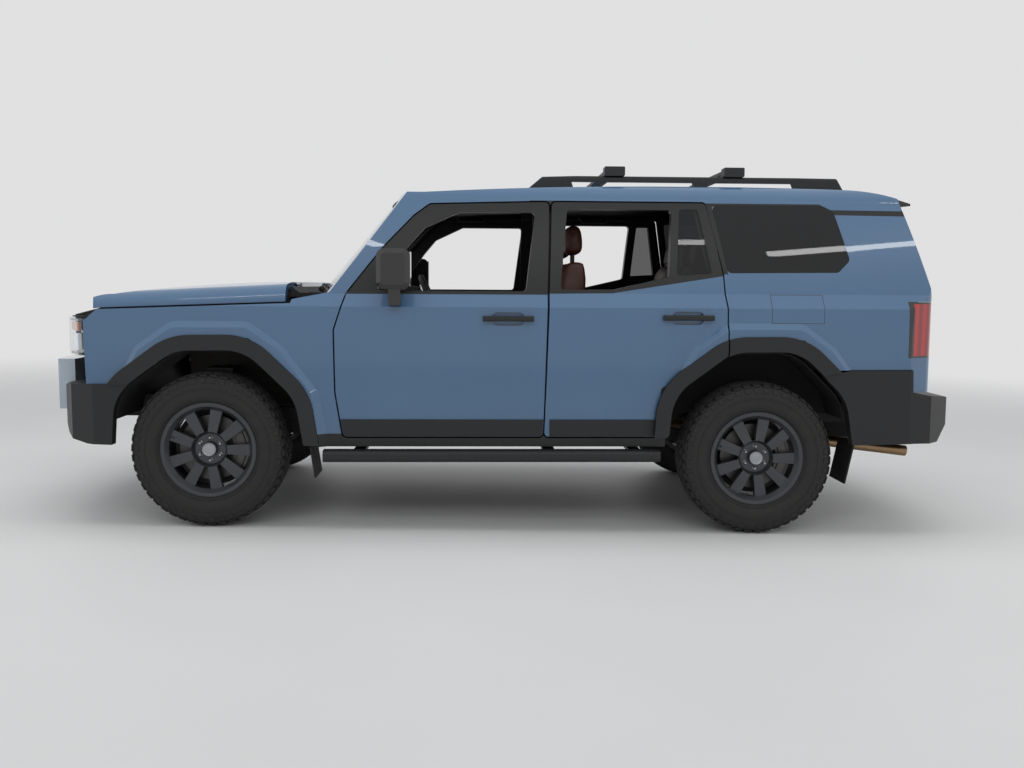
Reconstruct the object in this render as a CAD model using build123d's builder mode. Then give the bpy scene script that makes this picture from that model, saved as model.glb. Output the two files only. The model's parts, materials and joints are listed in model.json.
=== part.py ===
"""A five-door, body-on-frame sport utility vehicle, in millimetres.

Frame: +X to the front, +Y to the left, +Z up, origin on the ground under the middle of the overall length.
The body, frame and cabin are drawn level and then tipped nose-down by RAKE about the front axle's ground
point, because the vehicle stands a little higher on its rear springs. Wheels, knuckles and axles stay level.
"""

import os
from math import cos, radians, sin

from build123d import *

os.makedirs("parts", exist_ok=True)

# Overall layout
WHEELBASE = 2850
FRONT_OVERHANG = 920
REAR_OVERHANG = 1155
TRACK = 1668
RAKE = 0.9
BUMPER_Z = 680
LENGTH = FRONT_OVERHANG + WHEELBASE + REAR_OVERHANG
FX = LENGTH / 2 - FRONT_OVERHANG - BUMPER_Z * sin(radians(RAKE))
RX = FX - WHEELBASE
WHEEL_Y = TRACK / 2

# A reach past every side of the body, for cuts
WIDE = 1200

# Gaps: shut lines, seats that touch without overlap, running fits
SHUT_GAP = 7.5
SEAT_GAP = 0.3
PIN_GAP = 0.3

# Body section: half widths and heights of its break lines
SILL_HALF, SILL_Z = 930, 418
SIDE_HALF, SIDE_Z = 952, 860
SHOULDER_HALF, SHOULDER_Z = 944, 1140
BELT_HALF, BELT_Z = 893, 1214
PILLAR_HALF, PILLAR_Z = 839, 1452
DRIP_HALF, DRIP_Z = 757, 1692
ROOF_EDGE_HALF, ROOF_Z = 652, 1786
ROOF_CROWN = 6
DOOR_WALL = 120
DOOR_SKIN = 40
GLASS_WALL = 58
GLASS_SKIN = 22
ROOF_WALL = 45

# Stations along the body
SPLIT_X = FX - 1741
COWL_X = FX - 402
SCREEN_FOOT_X, SCREEN_FOOT_Z = FX - 625, 1213
SCREEN_TOP_X, SCREEN_TOP_Z = FX - 998, 1667
SCREEN_RADIUS = 4000
FENDER_REAR_X = FX - 650

# Wheels
TYRE_RADIUS = 400
TYRE_WIDTH = 265
RIM_RADIUS = 229
RIM_FLANGE = 246
HUB_Z = TYRE_RADIUS
SPINDLE_RADIUS = 30


def side_prism(points, y_from, y_to, corner=0.0, grow=0.0):
    """The solid whose side view is the polygon of (x, z) points, rounded and grown, between two y planes."""
    with BuildPart() as prism:
        with BuildSketch(Plane.XZ.offset(-y_from)) as outline:
            with BuildLine():
                Polyline(*points, close=True)
            make_face()
            if corner:
                fillet(outline.vertices(), corner)
            if grow:
                offset(amount=grow, kind=Kind.INTERSECTION, mode=Mode.REPLACE)
        extrude(amount=y_from - y_to)
    return prism.part


def plan_prism(points, z_from, z_to, corner=0.0):
    """The solid whose plan view is the polygon of (x, y) points, between two heights."""
    with BuildPart() as prism:
        with BuildSketch(Plane.XY.offset(z_from)) as outline:
            with BuildLine():
                Polyline(*points, close=True)
            make_face()
            if corner:
                fillet(outline.vertices(), corner)
        extrude(amount=z_to - z_from)
    return prism.part


def front_prism(points, x_from, x_to, corner=0.0, grow=0.0):
    """The solid whose front view is the polygon of (y, z) points, rounded and grown, between two x planes."""
    with BuildPart() as prism:
        with BuildSketch(Plane.YZ.offset(x_from)) as outline:
            with BuildLine():
                Polyline(*points, close=True)
            make_face()
            if corner:
                fillet(outline.vertices(), corner)
            if grow:
                offset(amount=grow, kind=Kind.INTERSECTION, mode=Mode.REPLACE)
        extrude(amount=x_to - x_from)
    return prism.part


def block(x_from, x_to, y_from, y_to, z_from, z_to):
    """A plain box between two corners."""
    with BuildPart() as box:
        with Locations(((x_from + x_to) / 2, (y_from + y_to) / 2, (z_from + z_to) / 2)):
            Box(abs(x_to - x_from), abs(y_to - y_from), abs(z_to - z_from))
    return box.part


def body_section(low, high, top, base_z):
    """The body's cross section moved inwards by its low, glass and roof walls, along the whole length."""
    with BuildPart() as prism:
        with BuildSketch(Plane.YZ.offset(-LENGTH / 2)):
            with BuildLine():
                sill = (SILL_HALF - low, SILL_Z)
                shoulder = (SHOULDER_HALF - low, SHOULDER_Z)
                belt = (BELT_HALF - high, BELT_Z)
                drip = (DRIP_HALF - high, DRIP_Z)
                roof = (ROOF_EDGE_HALF - high, ROOF_Z - top)
                corner = ((drip[0] * 2 + roof[0]) / 3, ROOF_Z - top - (ROOF_Z - DRIP_Z) * 0.3)
                Line((0, base_z), (SILL_HALF - low, base_z))
                if base_z != SILL_Z:
                    Line((SILL_HALF - low, base_z), sill)
                ThreePointArc(sill, (SIDE_HALF - low, SIDE_Z), shoulder)
                Line(shoulder, belt)
                ThreePointArc(belt, (PILLAR_HALF - high, PILLAR_Z), drip)
                ThreePointArc(drip, corner, roof)
                Line(roof, (0, ROOF_Z - top + ROOF_CROWN))
                mirror(about=Plane.YZ)
            make_face()
        extrude(amount=LENGTH)
    return prism.part


def common(*shapes):
    """What several solids have in common."""
    with BuildPart() as shared:
        add(shapes[0])
        for shape in shapes[1:]:
            add(shape, mode=Mode.INTERSECT)
    return shared.part


def without(shape, *cuts):
    """A solid with other solids taken away."""
    with BuildPart() as rest:
        add(shape)
        for cut in cuts:
            add(cut, mode=Mode.SUBTRACT)
    return rest.part


def save(piece, node, tipped=True):
    """Write one node, tipped with the body where the springs carry it."""
    if tipped:
        piece = piece.rotate(Axis((FX, 0, 0), (0, 1, 0)), RAKE)
    piece.label = node
    export_step(piece, f"parts/{node}.step")


# Cabin envelope: section, side profile and plan, each a prism, and what they have in common
section_outer = body_section(0, 0, 0, SILL_Z)
section_skin = body_section(DOOR_SKIN, GLASS_SKIN, GLASS_SKIN, SILL_Z - 60)
section_inner = body_section(DOOR_WALL, GLASS_WALL, ROOF_WALL, SILL_Z - 60)

REAR_TOP_X = RX - 775
REAR_BELT_X = RX - 935
REAR_MID_X, REAR_MID_Z = RX - 972, 884
REAR_LOW_X, REAR_LOW_Z = RX - 925, 700


def profile_prism(drop, rear):
    """The cabin's side profile with its roof lowered by drop and its back moved forward by rear."""
    front = FX - 1107
    with BuildPart() as prism:
        with BuildSketch(Plane.XZ.offset(-LENGTH)):
            with BuildLine():
                ThreePointArc((front, 1739 - drop), (RX + 268, 1785 - drop), (RX - 522, 1771 - drop))
                ThreePointArc(
                    (RX - 522, 1771 - drop), (RX - 660, 1754 - drop), (REAR_TOP_X + rear, 1724 - drop)
                )
                Line((REAR_TOP_X + rear, 1724 - drop), (REAR_BELT_X + rear, 1188))
                ThreePointArc(
                    (REAR_BELT_X + rear, 1188), (RX - 962 + rear, 1040), (REAR_MID_X + rear, REAR_MID_Z)
                )
                Polyline(
                    (REAR_MID_X + rear, REAR_MID_Z), (REAR_LOW_X + rear, REAR_LOW_Z),
                    (REAR_LOW_X + rear, SILL_Z - 80), (FX - 300, SILL_Z - 80),
                    (FX - 300, 1739 - drop), (front, 1739 - drop),
                )
            make_face()
        extrude(amount=2 * LENGTH)
    return prism.part


PLAN_SIDE = SIDE_HALF + 12
PLAN_CORNER_Y = SHOULDER_HALF - 64
CORNER_RADIUS = 70
with BuildPart() as plan_cabin:
    with BuildSketch(Plane.XY.offset(SILL_Z - 20)) as outline:
        with BuildLine():
            ThreePointArc((RX - 935, PLAN_CORNER_Y), (RX - 965, PLAN_CORNER_Y / 2), (RX - 975, 0))
            Polyline(
                (RX - 935, PLAN_CORNER_Y), (RX - 800, PLAN_SIDE - 14), (RX - 560, PLAN_SIDE), (FX, PLAN_SIDE),
            )
            Line((FX, PLAN_SIDE), (FX, 0))
            mirror(about=Plane.XZ)
        make_face()
        fillet(outline.vertices().sort_by(Axis.X)[1:3], CORNER_RADIUS)
    extrude(amount=ROOF_Z)

screen_dir = Vector(SCREEN_TOP_X - SCREEN_FOOT_X, 0, SCREEN_TOP_Z - SCREEN_FOOT_Z).normalized()
SCREEN_RISE = BELT_HALF**2 / (2 * SCREEN_RADIUS)


def screen_body(depth):
    """All that lies inside the bent windscreen surface moved inwards by depth."""
    foot = Vector(SCREEN_FOOT_X, 0, SCREEN_FOOT_Z)
    with BuildPart() as inside:
        with BuildSketch(Plane(origin=foot, x_dir=(0, 1, 0), z_dir=screen_dir)):
            with Locations((0, SCREEN_RADIUS - SCREEN_RISE)):
                Circle(SCREEN_RADIUS - depth)
        extrude(amount=3 * ROOF_Z, both=True)
    return inside.part


cabin_outer = common(section_outer, profile_prism(0, 0), plan_cabin.part, screen_body(0))
cabin_space = common(section_inner, profile_prism(ROOF_WALL, -LENGTH / 4))
walls = without(cabin_outer, cabin_space)

# Door outlines in side view, along the shut lines, each point (x, z)
DOOR_LOW_Z = 470
DOOR_TOP_Z = 1690
DOOR_CORNER = 24
FRAME_GAP = 14
SPLIT_LOW_X, SPLIT_TOP_X = SPLIT_X + 12, SPLIT_X - 22
ROOF_SPLIT_Z = DOOR_TOP_Z + SHUT_GAP
FRONT_DOOR = [
    (FX - 697, DOOR_LOW_Z), (FX - 662, 700), (FX - 657, 1021), (FX - 718, 1208), (FX - 905, 1447),
    (FX - 1060, 1612), (FX - 1140, DOOR_TOP_Z - 18), (SPLIT_TOP_X, DOOR_TOP_Z), (SPLIT_LOW_X, DOOR_LOW_Z),
]
REAR_DOOR = [
    (SPLIT_LOW_X - SHUT_GAP, DOOR_LOW_Z), (SPLIT_TOP_X - FRAME_GAP, DOOR_TOP_Z), (RX + 262, DOOR_TOP_Z),
    (RX + 184, 1313), (RX + 171, 1133), (RX + 171, 897), (RX + 362, 756), (RX + 430, 678), (RX + 460, 579),
    (RX + 470, DOOR_LOW_Z),
]
FRONT_WINDOW = [
    (FX - 852, BELT_Z + 8), (SPLIT_X + 103, BELT_Z + 8), (SPLIT_X + 52, 1632), (FX - 1294, 1632),
    (FX - 1112, 1548), (FX - 1035, 1459),
]
REAR_WINDOW = [
    (SPLIT_X - 74, BELT_Z + 16), (SPLIT_X - 360, BELT_Z + 20), (RX + 466, 1300), (RX + 441, 1652),
    (SPLIT_X - 116, 1652),
]
FIXED_GLASS = [(RX + 426, 1308), (RX + 240, 1318), (RX + 302, 1656), (RX + 402, 1656)]
QUARTER_GLASS = [
    (RX + 158, 1322), (RX - 428, 1328), (RX - 492, 1392), (RX - 422, 1652), (RX - 370, 1680),
    (RX + 230, 1680),
]

# Wheel arches in side view: (offset from the axle, height), front to rear
ARCH = [(470, 0), (470, 430), (452, 690), (146, 915), (-205, 918), (-460, 670), (-500, 430), (-500, 0)]
ARCH_CORNER = 240
FLARE_BAND = 78
CLAD_TOP_Z = 560

# Swelling of the painted panels round the flares, in the same way
SWELL = [(560, 300), (505, 700), (372, 955), (175, 1090), (-235, 1090), (-425, 955), (-600, 715), (-650, 300)]
SWELL_CORNER = 130
SWELL_SLOPE = 58
SWELL_FOOT_Y, SWELL_CREST_Y = SIDE_HALF - 24, SIDE_HALF + 22


def about_axle(outline, axle_x):
    """An outline of the arches about one axle."""
    return [(axle_x + dx, z) for dx, z in outline]


def arch_points(axle_x):
    """The arch outline about one axle."""
    return about_axle(ARCH, axle_x)


def swelling(axle_x):
    """The swelling round one flare, before it is cut to its panels."""
    with BuildPart() as form:
        for y, inset in ((SWELL_FOOT_Y, 0), (SWELL_CREST_Y, SWELL_SLOPE)):
            with BuildSketch(Plane.XZ.offset(-y)) as outline:
                with BuildLine():
                    Polyline(*about_axle(SWELL, axle_x), close=True)
                make_face()
                fillet(outline.vertices(), SWELL_CORNER)
                if inset:
                    offset(amount=-inset, kind=Kind.INTERSECTION, mode=Mode.REPLACE)
        loft(ruled=True)
        flare_edge = FLARE_BAND + SEAT_GAP
        add(side_prism(arch_points(axle_x), 0, WIDE, ARCH_CORNER, flare_edge), mode=Mode.SUBTRACT)
    return form.part


REAR_X = RX - REAR_OVERHANG

# Side panels: pillars and sill of each side in one frame, quarter panels behind the rear doors
TAIL_LAMP_X = RX - 784
TAIL_LAMP_LOW_Z, TAIL_LAMP_TOP_Z = 887, 1179
HINGE_PILLAR_X = FX - 588
HINGE_Y = SIDE_HALF - 18
HINGE_HEIGHTS = (740, 1050)
HINGE_PIN = 5
HINGE_EYE = 9
FRONT_HINGE_X = FX - 727
REAR_HINGE_X = SPLIT_X - 80
POST_GAP = 8
POST_DEPTH = 180
INNER_SILL_Y = SILL_HALF - 185
SILL_TOP_Z = 580
FENDER_SKIN = 45
BUMPER_TOP_Z = 741
FENDER_OUTLINE = [
    (FX - 689, DOOR_LOW_Z - 50), (FX - 689, DOOR_LOW_Z), (FX - 654, 700), (FX - 649, 1021), (FX - 710, 1208),
    (FX - 625, 1212), (FX - 440, 1176), (FX - 433, 1156), (FX + 537, 1120), (FX + 604, 1060),
    (FX + 596, BUMPER_TOP_Z + SEAT_GAP), (FX + 200, BUMPER_TOP_Z + SEAT_GAP), (FX + 200, DOOR_LOW_Z - 50),
]
REAR_BUMPER = [
    (RX - 345, 796), (RX - 480, 820), (RX - 811, 824), (RX - 817, 702), (RX - 1090, 663), (REAR_X, 650),
    (REAR_X, 570), (RX - 1010, 430), (RX - 828, 436), (RX - 540, 430), (RX - 440, 430),
]
QUARTER_LOW = [
    (RX + 160, 0), (RX + 160, 700), (RX - 300, 700), (RX - 300, 822), (RX - 812, 826), (RX - 818, 705),
    (RX - 1200, 705), (RX - 1200, 0),
]
fender_zone = common(
    without(section_outer, body_section(FENDER_SKIN + 1, FENDER_SKIN + 1, 0, SILL_Z - 60)),
    side_prism(FENDER_OUTLINE, 0, WIDE, grow=1),
)
door_cuts = [side_prism(outline, 0, WIDE, DOOR_CORNER, SHUT_GAP) for outline in (FRONT_DOOR, REAR_DOOR)]
rear_arch_cut = side_prism(arch_points(RX), 0, WIDE, ARCH_CORNER)
tail_lamp_cut = block(TAIL_LAMP_X, RX - 1200, 0, WIDE, TAIL_LAMP_LOW_Z, TAIL_LAMP_TOP_Z)
quarter_rebate = common(
    without(section_outer, body_section(7, 7, 7, SILL_Z - 60)), side_prism(QUARTER_GLASS, 0, WIDE, corner=30),
)
quarter_opening = side_prism(QUARTER_GLASS, 0, WIDE, corner=30, grow=-16)
side_walls = common(without(cabin_outer, section_inner), block(-LENGTH, LENGTH, 0, WIDE, 0, ROOF_SPLIT_Z))
post_layer = common(
    without(
        body_section(DOOR_WALL + POST_GAP, GLASS_WALL + POST_GAP, ROOF_WALL, SILL_Z),
        body_section(POST_DEPTH, GLASS_WALL + 40, ROOF_WALL + 40, SILL_Z - 60),
    ),
    profile_prism(ROOF_WALL + SEAT_GAP, 0),
)
centre_post = common(post_layer, block(SPLIT_X - 88, SPLIT_X + 60, ROOF_EDGE_HALF - 90, WIDE, SILL_Z, ROOF_Z))
front_post = common(post_layer, block(FRONT_HINGE_X - 40, HINGE_PILLAR_X, 0, WIDE, SILL_Z, BELT_Z - 30))

with BuildPart() as side_frame:
    add(common(side_walls, block(RX + 480, HINGE_PILLAR_X, 0, WIDE, 0, ROOF_Z)))
    add(fender_zone, mode=Mode.SUBTRACT)
    for cut in door_cuts:
        add(cut, mode=Mode.SUBTRACT)
    add(centre_post)
    add(front_post)
    add(block(
        RX + 480, HINGE_PILLAR_X, INNER_SILL_Y, SILL_HALF - 112, SILL_Z, DOOR_LOW_Z - 2 * SHUT_GAP,
    ))
    add(block(RX + 480, HINGE_PILLAR_X, INNER_SILL_Y, SILL_HALF - 130, SILL_Z, SILL_TOP_Z))
    add(block(
        FENDER_REAR_X + 4, HINGE_PILLAR_X, SILL_HALF - 150, SILL_HALF - 60, SILL_Z, BELT_Z - 40,
    ))
    for hinge_x in (FRONT_HINGE_X, REAR_HINGE_X):
        for hinge_z in HINGE_HEIGHTS:
            add(block(hinge_x - 8, hinge_x + 8, HINGE_Y - 134, HINGE_Y, hinge_z - 8, hinge_z + 8))
            with Locations((hinge_x, HINGE_Y, hinge_z)):
                Cylinder(HINGE_EYE, 16)
                Cylinder(HINGE_PIN, 66)
with BuildPart() as side_frames:
    add(side_frame.part)
    mirror(about=Plane.XZ)

ROOF_REAR_X = RX - 677
TAILGATE_HALF = DRIP_HALF - 67
TAILGATE_WALL = 90
TAILGATE_LOW_Z = 722
tail_form = common(section_outer, profile_prism(0, 0), plan_cabin.part)
tail_shell = without(tail_form, profile_prism(ROOF_WALL, TAILGATE_WALL))
corner_y = TAILGATE_HALF + SHUT_GAP
rear_corner = common(
    tail_shell, block(ROOF_REAR_X - SEAT_GAP, RX - 1200, corner_y, WIDE, TAILGATE_LOW_Z, 2 * ROOF_Z),
)
with BuildPart() as quarter:
    add(common(side_walls, block(RX + 300, RX - 1200, 0, WIDE, 0, ROOF_Z)))
    add(common(walls, block(
        ROOF_REAR_X - SEAT_GAP, RX - 1200, corner_y, WIDE, ROOF_SPLIT_Z - SHUT_GAP, 2 * ROOF_Z,
    )))
    add(rear_corner)
    add(common(swelling(RX), block(RX + 300, RX - 900, 0, WIDE, 0, ROOF_Z)))
    for cut in (door_cuts[1], rear_arch_cut, tail_lamp_cut, quarter_rebate, quarter_opening):
        add(cut, mode=Mode.SUBTRACT)
    add(side_prism(QUARTER_LOW, 0, WIDE), mode=Mode.SUBTRACT)
with BuildPart() as quarter_panels:
    add(quarter.part)
    mirror(about=Plane.XZ)
save(side_frames.part, "side_frames")
save(quarter_panels.part, "quarter_panels")

# Glass of the quarter windows, set in its rebate
glass_layer = without(body_section(SEAT_GAP, SEAT_GAP, 0, SILL_Z), body_section(6.7, 6.7, 7, SILL_Z - 60))
with BuildPart() as quarter_glass:
    add(common(glass_layer, side_prism(QUARTER_GLASS, 0, WIDE, corner=30, grow=-SEAT_GAP)))
    mirror(about=Plane.XZ)
save(quarter_glass.part, "quarter_glass")

# Tail lamps wrap the rear corners
LAMP_GAP = 1.0
lamp_block = block(
    TAIL_LAMP_X - LAMP_GAP, RX - 1200, 0, WIDE, TAIL_LAMP_LOW_Z + SEAT_GAP, TAIL_LAMP_TOP_Z - LAMP_GAP,
)
with BuildPart() as tail_lamps:
    add(common(side_walls, lamp_block))
    add(common(rear_corner, lamp_block))
    mirror(about=Plane.XZ)
save(tail_lamps.part, "tail_lamps")

# Roof from the windscreen header to the tailgate
with BuildPart() as roof_zone:
    add(block(ROOF_REAR_X, FX, -WIDE, WIDE, ROOF_SPLIT_Z, 2 * ROOF_Z))
    add(common(section_inner, block(ROOF_REAR_X, FX, -WIDE, WIDE, BELT_Z, 2 * ROOF_Z)))
TAILGATE_HINGE_X, TAILGATE_HINGE_Z = ROOF_REAR_X - 26, 1738
TAILGATE_HINGE_Y = 450
TAIL_EYE, TAIL_PIN = 7, 4
TAIL_SLOT = 13
with BuildPart() as roof_panel:
    add(common(walls, roof_zone.part))
    for arm_y in (TAILGATE_HINGE_Y, -TAILGATE_HINGE_Y):
        add(block(
            TAILGATE_HINGE_X, ROOF_REAR_X + 6, arm_y - TAIL_EYE, arm_y + TAIL_EYE,
            TAILGATE_HINGE_Z - TAIL_EYE, TAILGATE_HINGE_Z + TAIL_EYE,
        ))
        with Locations((TAILGATE_HINGE_X, arm_y, TAILGATE_HINGE_Z)):
            Cylinder(TAIL_EYE, 2 * TAIL_EYE, rotation=(90, 0, 0))
            Cylinder(TAIL_PIN, 4 * TAIL_SLOT, rotation=(90, 0, 0))
save(roof_panel.part, "roof_panel")

# Windscreen between the front pillars, from the cowl to the roof header
with BuildPart() as windscreen:
    add(without(screen_body(SEAT_GAP), screen_body(6.5)))
    add(body_section(DOOR_WALL + 1, GLASS_WALL + 1, 0, SILL_Z), mode=Mode.INTERSECT)
    add(block(SCREEN_TOP_X - 200, FX, -WIDE, WIDE, SCREEN_FOOT_Z - 4, ROOF_SPLIT_Z - 8), mode=Mode.INTERSECT)
save(windscreen.part, "windscreen")


# Doors: an outer skin over the whole outline and an inner box set back from its edges
DOOR_INSET = 20
HINGE_POCKET = 13
skin_layer = without(section_outer, section_skin)
inner_layer = without(section_skin, section_inner)


def door_blank(outline, windows, hinge_x):
    """One left door with its windows cut and its hinge pockets and pin holes."""
    with BuildPart() as door:
        add(common(skin_layer, side_prism(outline, 0, WIDE, DOOR_CORNER)))
        add(without(
            common(inner_layer, side_prism(outline, 0, WIDE, DOOR_CORNER, -DOOR_INSET)),
            block(hinge_x + DOOR_INSET, FX, 0, WIDE, 0, ROOF_Z),
        ))
        for window in windows:
            add(side_prism(window, 0, WIDE, corner=20), mode=Mode.SUBTRACT)
        for hinge_z in HINGE_HEIGHTS:
            add(block(
                hinge_x - 14, hinge_x + 90, HINGE_Y - 234, HINGE_Y + 11,
                hinge_z - HINGE_POCKET, hinge_z + HINGE_POCKET,
            ), mode=Mode.SUBTRACT)
            with Locations((hinge_x, HINGE_Y, hinge_z)):
                Cylinder(HINGE_PIN + PIN_GAP, 70, mode=Mode.SUBTRACT)
    return door.part


fixed_rebate = common(
    without(section_outer, body_section(7, 7, 7, SILL_Z - 60)), side_prism(FIXED_GLASS, 0, WIDE, corner=14),
)
front_door = door_blank(FRONT_DOOR, [FRONT_WINDOW], FRONT_HINGE_X)
rear_blank = door_blank(REAR_DOOR, [REAR_WINDOW], REAR_HINGE_X)
door_swell = common(
    swelling(RX), side_prism(REAR_DOOR, 0, WIDE, DOOR_CORNER),
    block(RX, SPLIT_X, 0, WIDE, CLAD_TOP_Z + SEAT_GAP, BELT_Z),
)
with BuildPart() as rear_door:
    add(rear_blank)
    add(fixed_rebate, mode=Mode.SUBTRACT)
    add(side_prism(FIXED_GLASS, 0, WIDE, corner=14, grow=-12), mode=Mode.SUBTRACT)
    add(door_swell)

# Black flares round the wheel arches, cladding along the doors
FLARE_IN, FLARE_OUT = SIDE_HALF - 6, SIDE_HALF + 36
FLARE_LOW_Z = 430
CLAD_THICK = 9


def flare_band(axle_x):
    """The band of one arch flare before it is cut to its ends."""
    arch = arch_points(axle_x)
    with BuildPart() as band:
        add(side_prism(arch, FLARE_IN, FLARE_OUT, ARCH_CORNER, FLARE_BAND))
        add(side_prism(arch, 0, WIDE, ARCH_CORNER), mode=Mode.SUBTRACT)
        add(block(axle_x - 900, axle_x + 900, 0, WIDE, -WIDE, FLARE_LOW_Z), mode=Mode.SUBTRACT)
    return band.part


front_flare = without(
    flare_band(FX), section_outer, block(FX + 300, FX + 900, 0, WIDE, 0, BUMPER_TOP_Z + SEAT_GAP),
)
rear_band = without(
    flare_band(RX), section_outer, side_prism(REAR_BUMPER, 0, WIDE, grow=SEAT_GAP),
    block(RX - 440, RX - 900, 0, WIDE, 0, ROOF_Z),
)
door_flare = common(rear_band, side_prism(REAR_DOOR, 0, WIDE, DOOR_CORNER))
rear_flare = common(
    without(rear_band, door_cuts[1]), block(RX + 171, RX - 900, 0, WIDE, 0, ROOF_Z),
)
clad_layer = without(body_section(-CLAD_THICK, 0, 0, SILL_Z), section_outer)
with BuildPart() as arch_flares:
    for flare in (front_flare, rear_flare):
        add(flare)
    mirror(about=Plane.XZ)
save(arch_flares.part, "arch_flares")

# Front fenders
HOOD_EDGE_HALF = SHOULDER_HALF - FENDER_SKIN - SHUT_GAP
fender_shell = without(section_outer, body_section(FENDER_SKIN, FENDER_SKIN, 0, SILL_Z - 60))
with BuildPart() as fenders:
    add(common(fender_shell, side_prism(FENDER_OUTLINE, 0, WIDE)))
    add(common(swelling(FX), side_prism(FENDER_OUTLINE, 0, WIDE)))
    add(side_prism(arch_points(FX), 0, WIDE, ARCH_CORNER), mode=Mode.SUBTRACT)
    mirror(about=Plane.XZ)
save(fenders.part, "fenders")

# Hood: a crowned lid with rolled edges, hinged at the cowl
HOOD_WALL = 38
HOOD_FRONT_X = FX + 690
HOOD_REAR_X = COWL_X
HOOD_SLOPE = 3.0


def hood_form(drop, inset):
    """The hood's outer form, lowered by drop and moved in by inset on its sides and front."""
    with BuildPart() as form:
        with BuildSketch(Plane.XZ.offset(-WIDE)):
            with BuildLine():
                ThreePointArc(
                    (HOOD_FRONT_X - inset, 1098 - drop), (FX + 640, 1146 - drop), (FX + 481, 1197 - drop),
                )
                ThreePointArc(
                    (FX + 481, 1197 - drop), (FX + 66, 1245 - drop), (HOOD_REAR_X, 1263 - drop),
                )
                Polyline(
                    (HOOD_REAR_X, 1263 - drop), (HOOD_REAR_X, 1000), (HOOD_FRONT_X - inset, 1000),
                    (HOOD_FRONT_X - inset, 1098 - drop),
                )
            make_face()
        extrude(amount=2 * WIDE)
        slope = radians(HOOD_SLOPE)
        plane = Plane(origin=(FX, 0, 0), x_dir=(0, 1, 0), z_dir=(cos(slope), 0, -sin(slope)))
        with BuildSketch(plane.offset(-WIDE), mode=Mode.PRIVATE) as lid:
            with BuildLine():
                edge = HOOD_EDGE_HALF - inset
                Line((0, 900), (edge, 900))
                Line((edge, 900), (edge, 1150 - drop))
                ThreePointArc((edge, 1150 - drop), (edge - 24, 1206 - drop), (edge - 92, 1232 - drop))
                ThreePointArc((edge - 92, 1232 - drop), (edge / 2 - 20, 1256 - drop), (0, 1266 - drop))
                mirror(about=Plane.YZ)
            make_face()
        extrude(lid.sketch, amount=2 * WIDE, mode=Mode.INTERSECT)
    return form.part


HOOD_NOSE_RADIUS = 3400
HOOD_HINGE_X, HOOD_HINGE_Z = COWL_X - 14, 1250
HOOD_HINGE_Y = 640
LID_EYE, LID_PIN = 8, 4
EYE_WIDTH = 24
LUG_WIDTH = 10
with BuildPart() as hood:
    add(without(hood_form(0, 0), hood_form(HOOD_WALL, HOOD_WALL)))
    add(side_prism(
        [(HOOD_REAR_X, 1163), (FX + 537, 1128), (FX + 800, 1092), (FX + 800, 1400), (HOOD_REAR_X, 1400)],
        -WIDE, WIDE,
    ), mode=Mode.INTERSECT)
    with BuildSketch(Plane.XY.offset(900)):
        with Locations((HOOD_FRONT_X - HOOD_NOSE_RADIUS, 0)):
            Circle(HOOD_NOSE_RADIUS)
    extrude(amount=600, mode=Mode.INTERSECT)
    for eye_y in (HOOD_HINGE_Y, -HOOD_HINGE_Y):
        eye_low, eye_high = eye_y - EYE_WIDTH / 2, eye_y + EYE_WIDTH / 2
        add(block(HOOD_HINGE_X, COWL_X + 10, eye_low, eye_high, HOOD_HINGE_Z - 4, HOOD_HINGE_Z + LID_EYE))
        with Locations((HOOD_HINGE_X, eye_y, HOOD_HINGE_Z)):
            Cylinder(LID_EYE, EYE_WIDTH, rotation=(90, 0, 0))
            Cylinder(LID_PIN + PIN_GAP, 2 * EYE_WIDTH, rotation=(90, 0, 0), mode=Mode.SUBTRACT)
save(hood.part, "hood")

# Cowl with the screen's foot, behind the hood
COWL_HALF = SHOULDER_HALF - DOOR_WALL - 1
COWL_TOP_Z = SCREEN_FOOT_Z - 4 - SEAT_GAP
COWL_LOW_Z = BELT_Z - 28
with BuildPart() as cowl:
    add(side_prism(
        [(FX - 640, COWL_LOW_Z), (FX - 640, COWL_TOP_Z), (COWL_X - 62, COWL_TOP_Z), (COWL_X - 26, 1238),
         (COWL_X - 14, 1238), (COWL_X - 14, COWL_LOW_Z)], -COWL_HALF, COWL_HALF,
    ))
    for side in (1, -1):
        lug_y = side * (HOOD_HINGE_Y + EYE_WIDTH / 2 + LUG_WIDTH)
        lug_low, lug_high = lug_y - LUG_WIDTH / 2, lug_y + LUG_WIDTH / 2
        add(block(HOOD_HINGE_X - LID_EYE, HOOD_HINGE_X, lug_low, lug_high, COWL_TOP_Z, HOOD_HINGE_Z))
        with Locations((HOOD_HINGE_X, lug_y, HOOD_HINGE_Z)):
            Cylinder(LID_EYE, LUG_WIDTH, rotation=(90, 0, 0))
        with Locations((HOOD_HINGE_X, side * (HOOD_HINGE_Y + LUG_WIDTH / 2), HOOD_HINGE_Z)):
            Cylinder(LID_PIN, EYE_WIDTH + LUG_WIDTH, rotation=(90, 0, 0))
save(cowl.part, "cowl")

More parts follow.
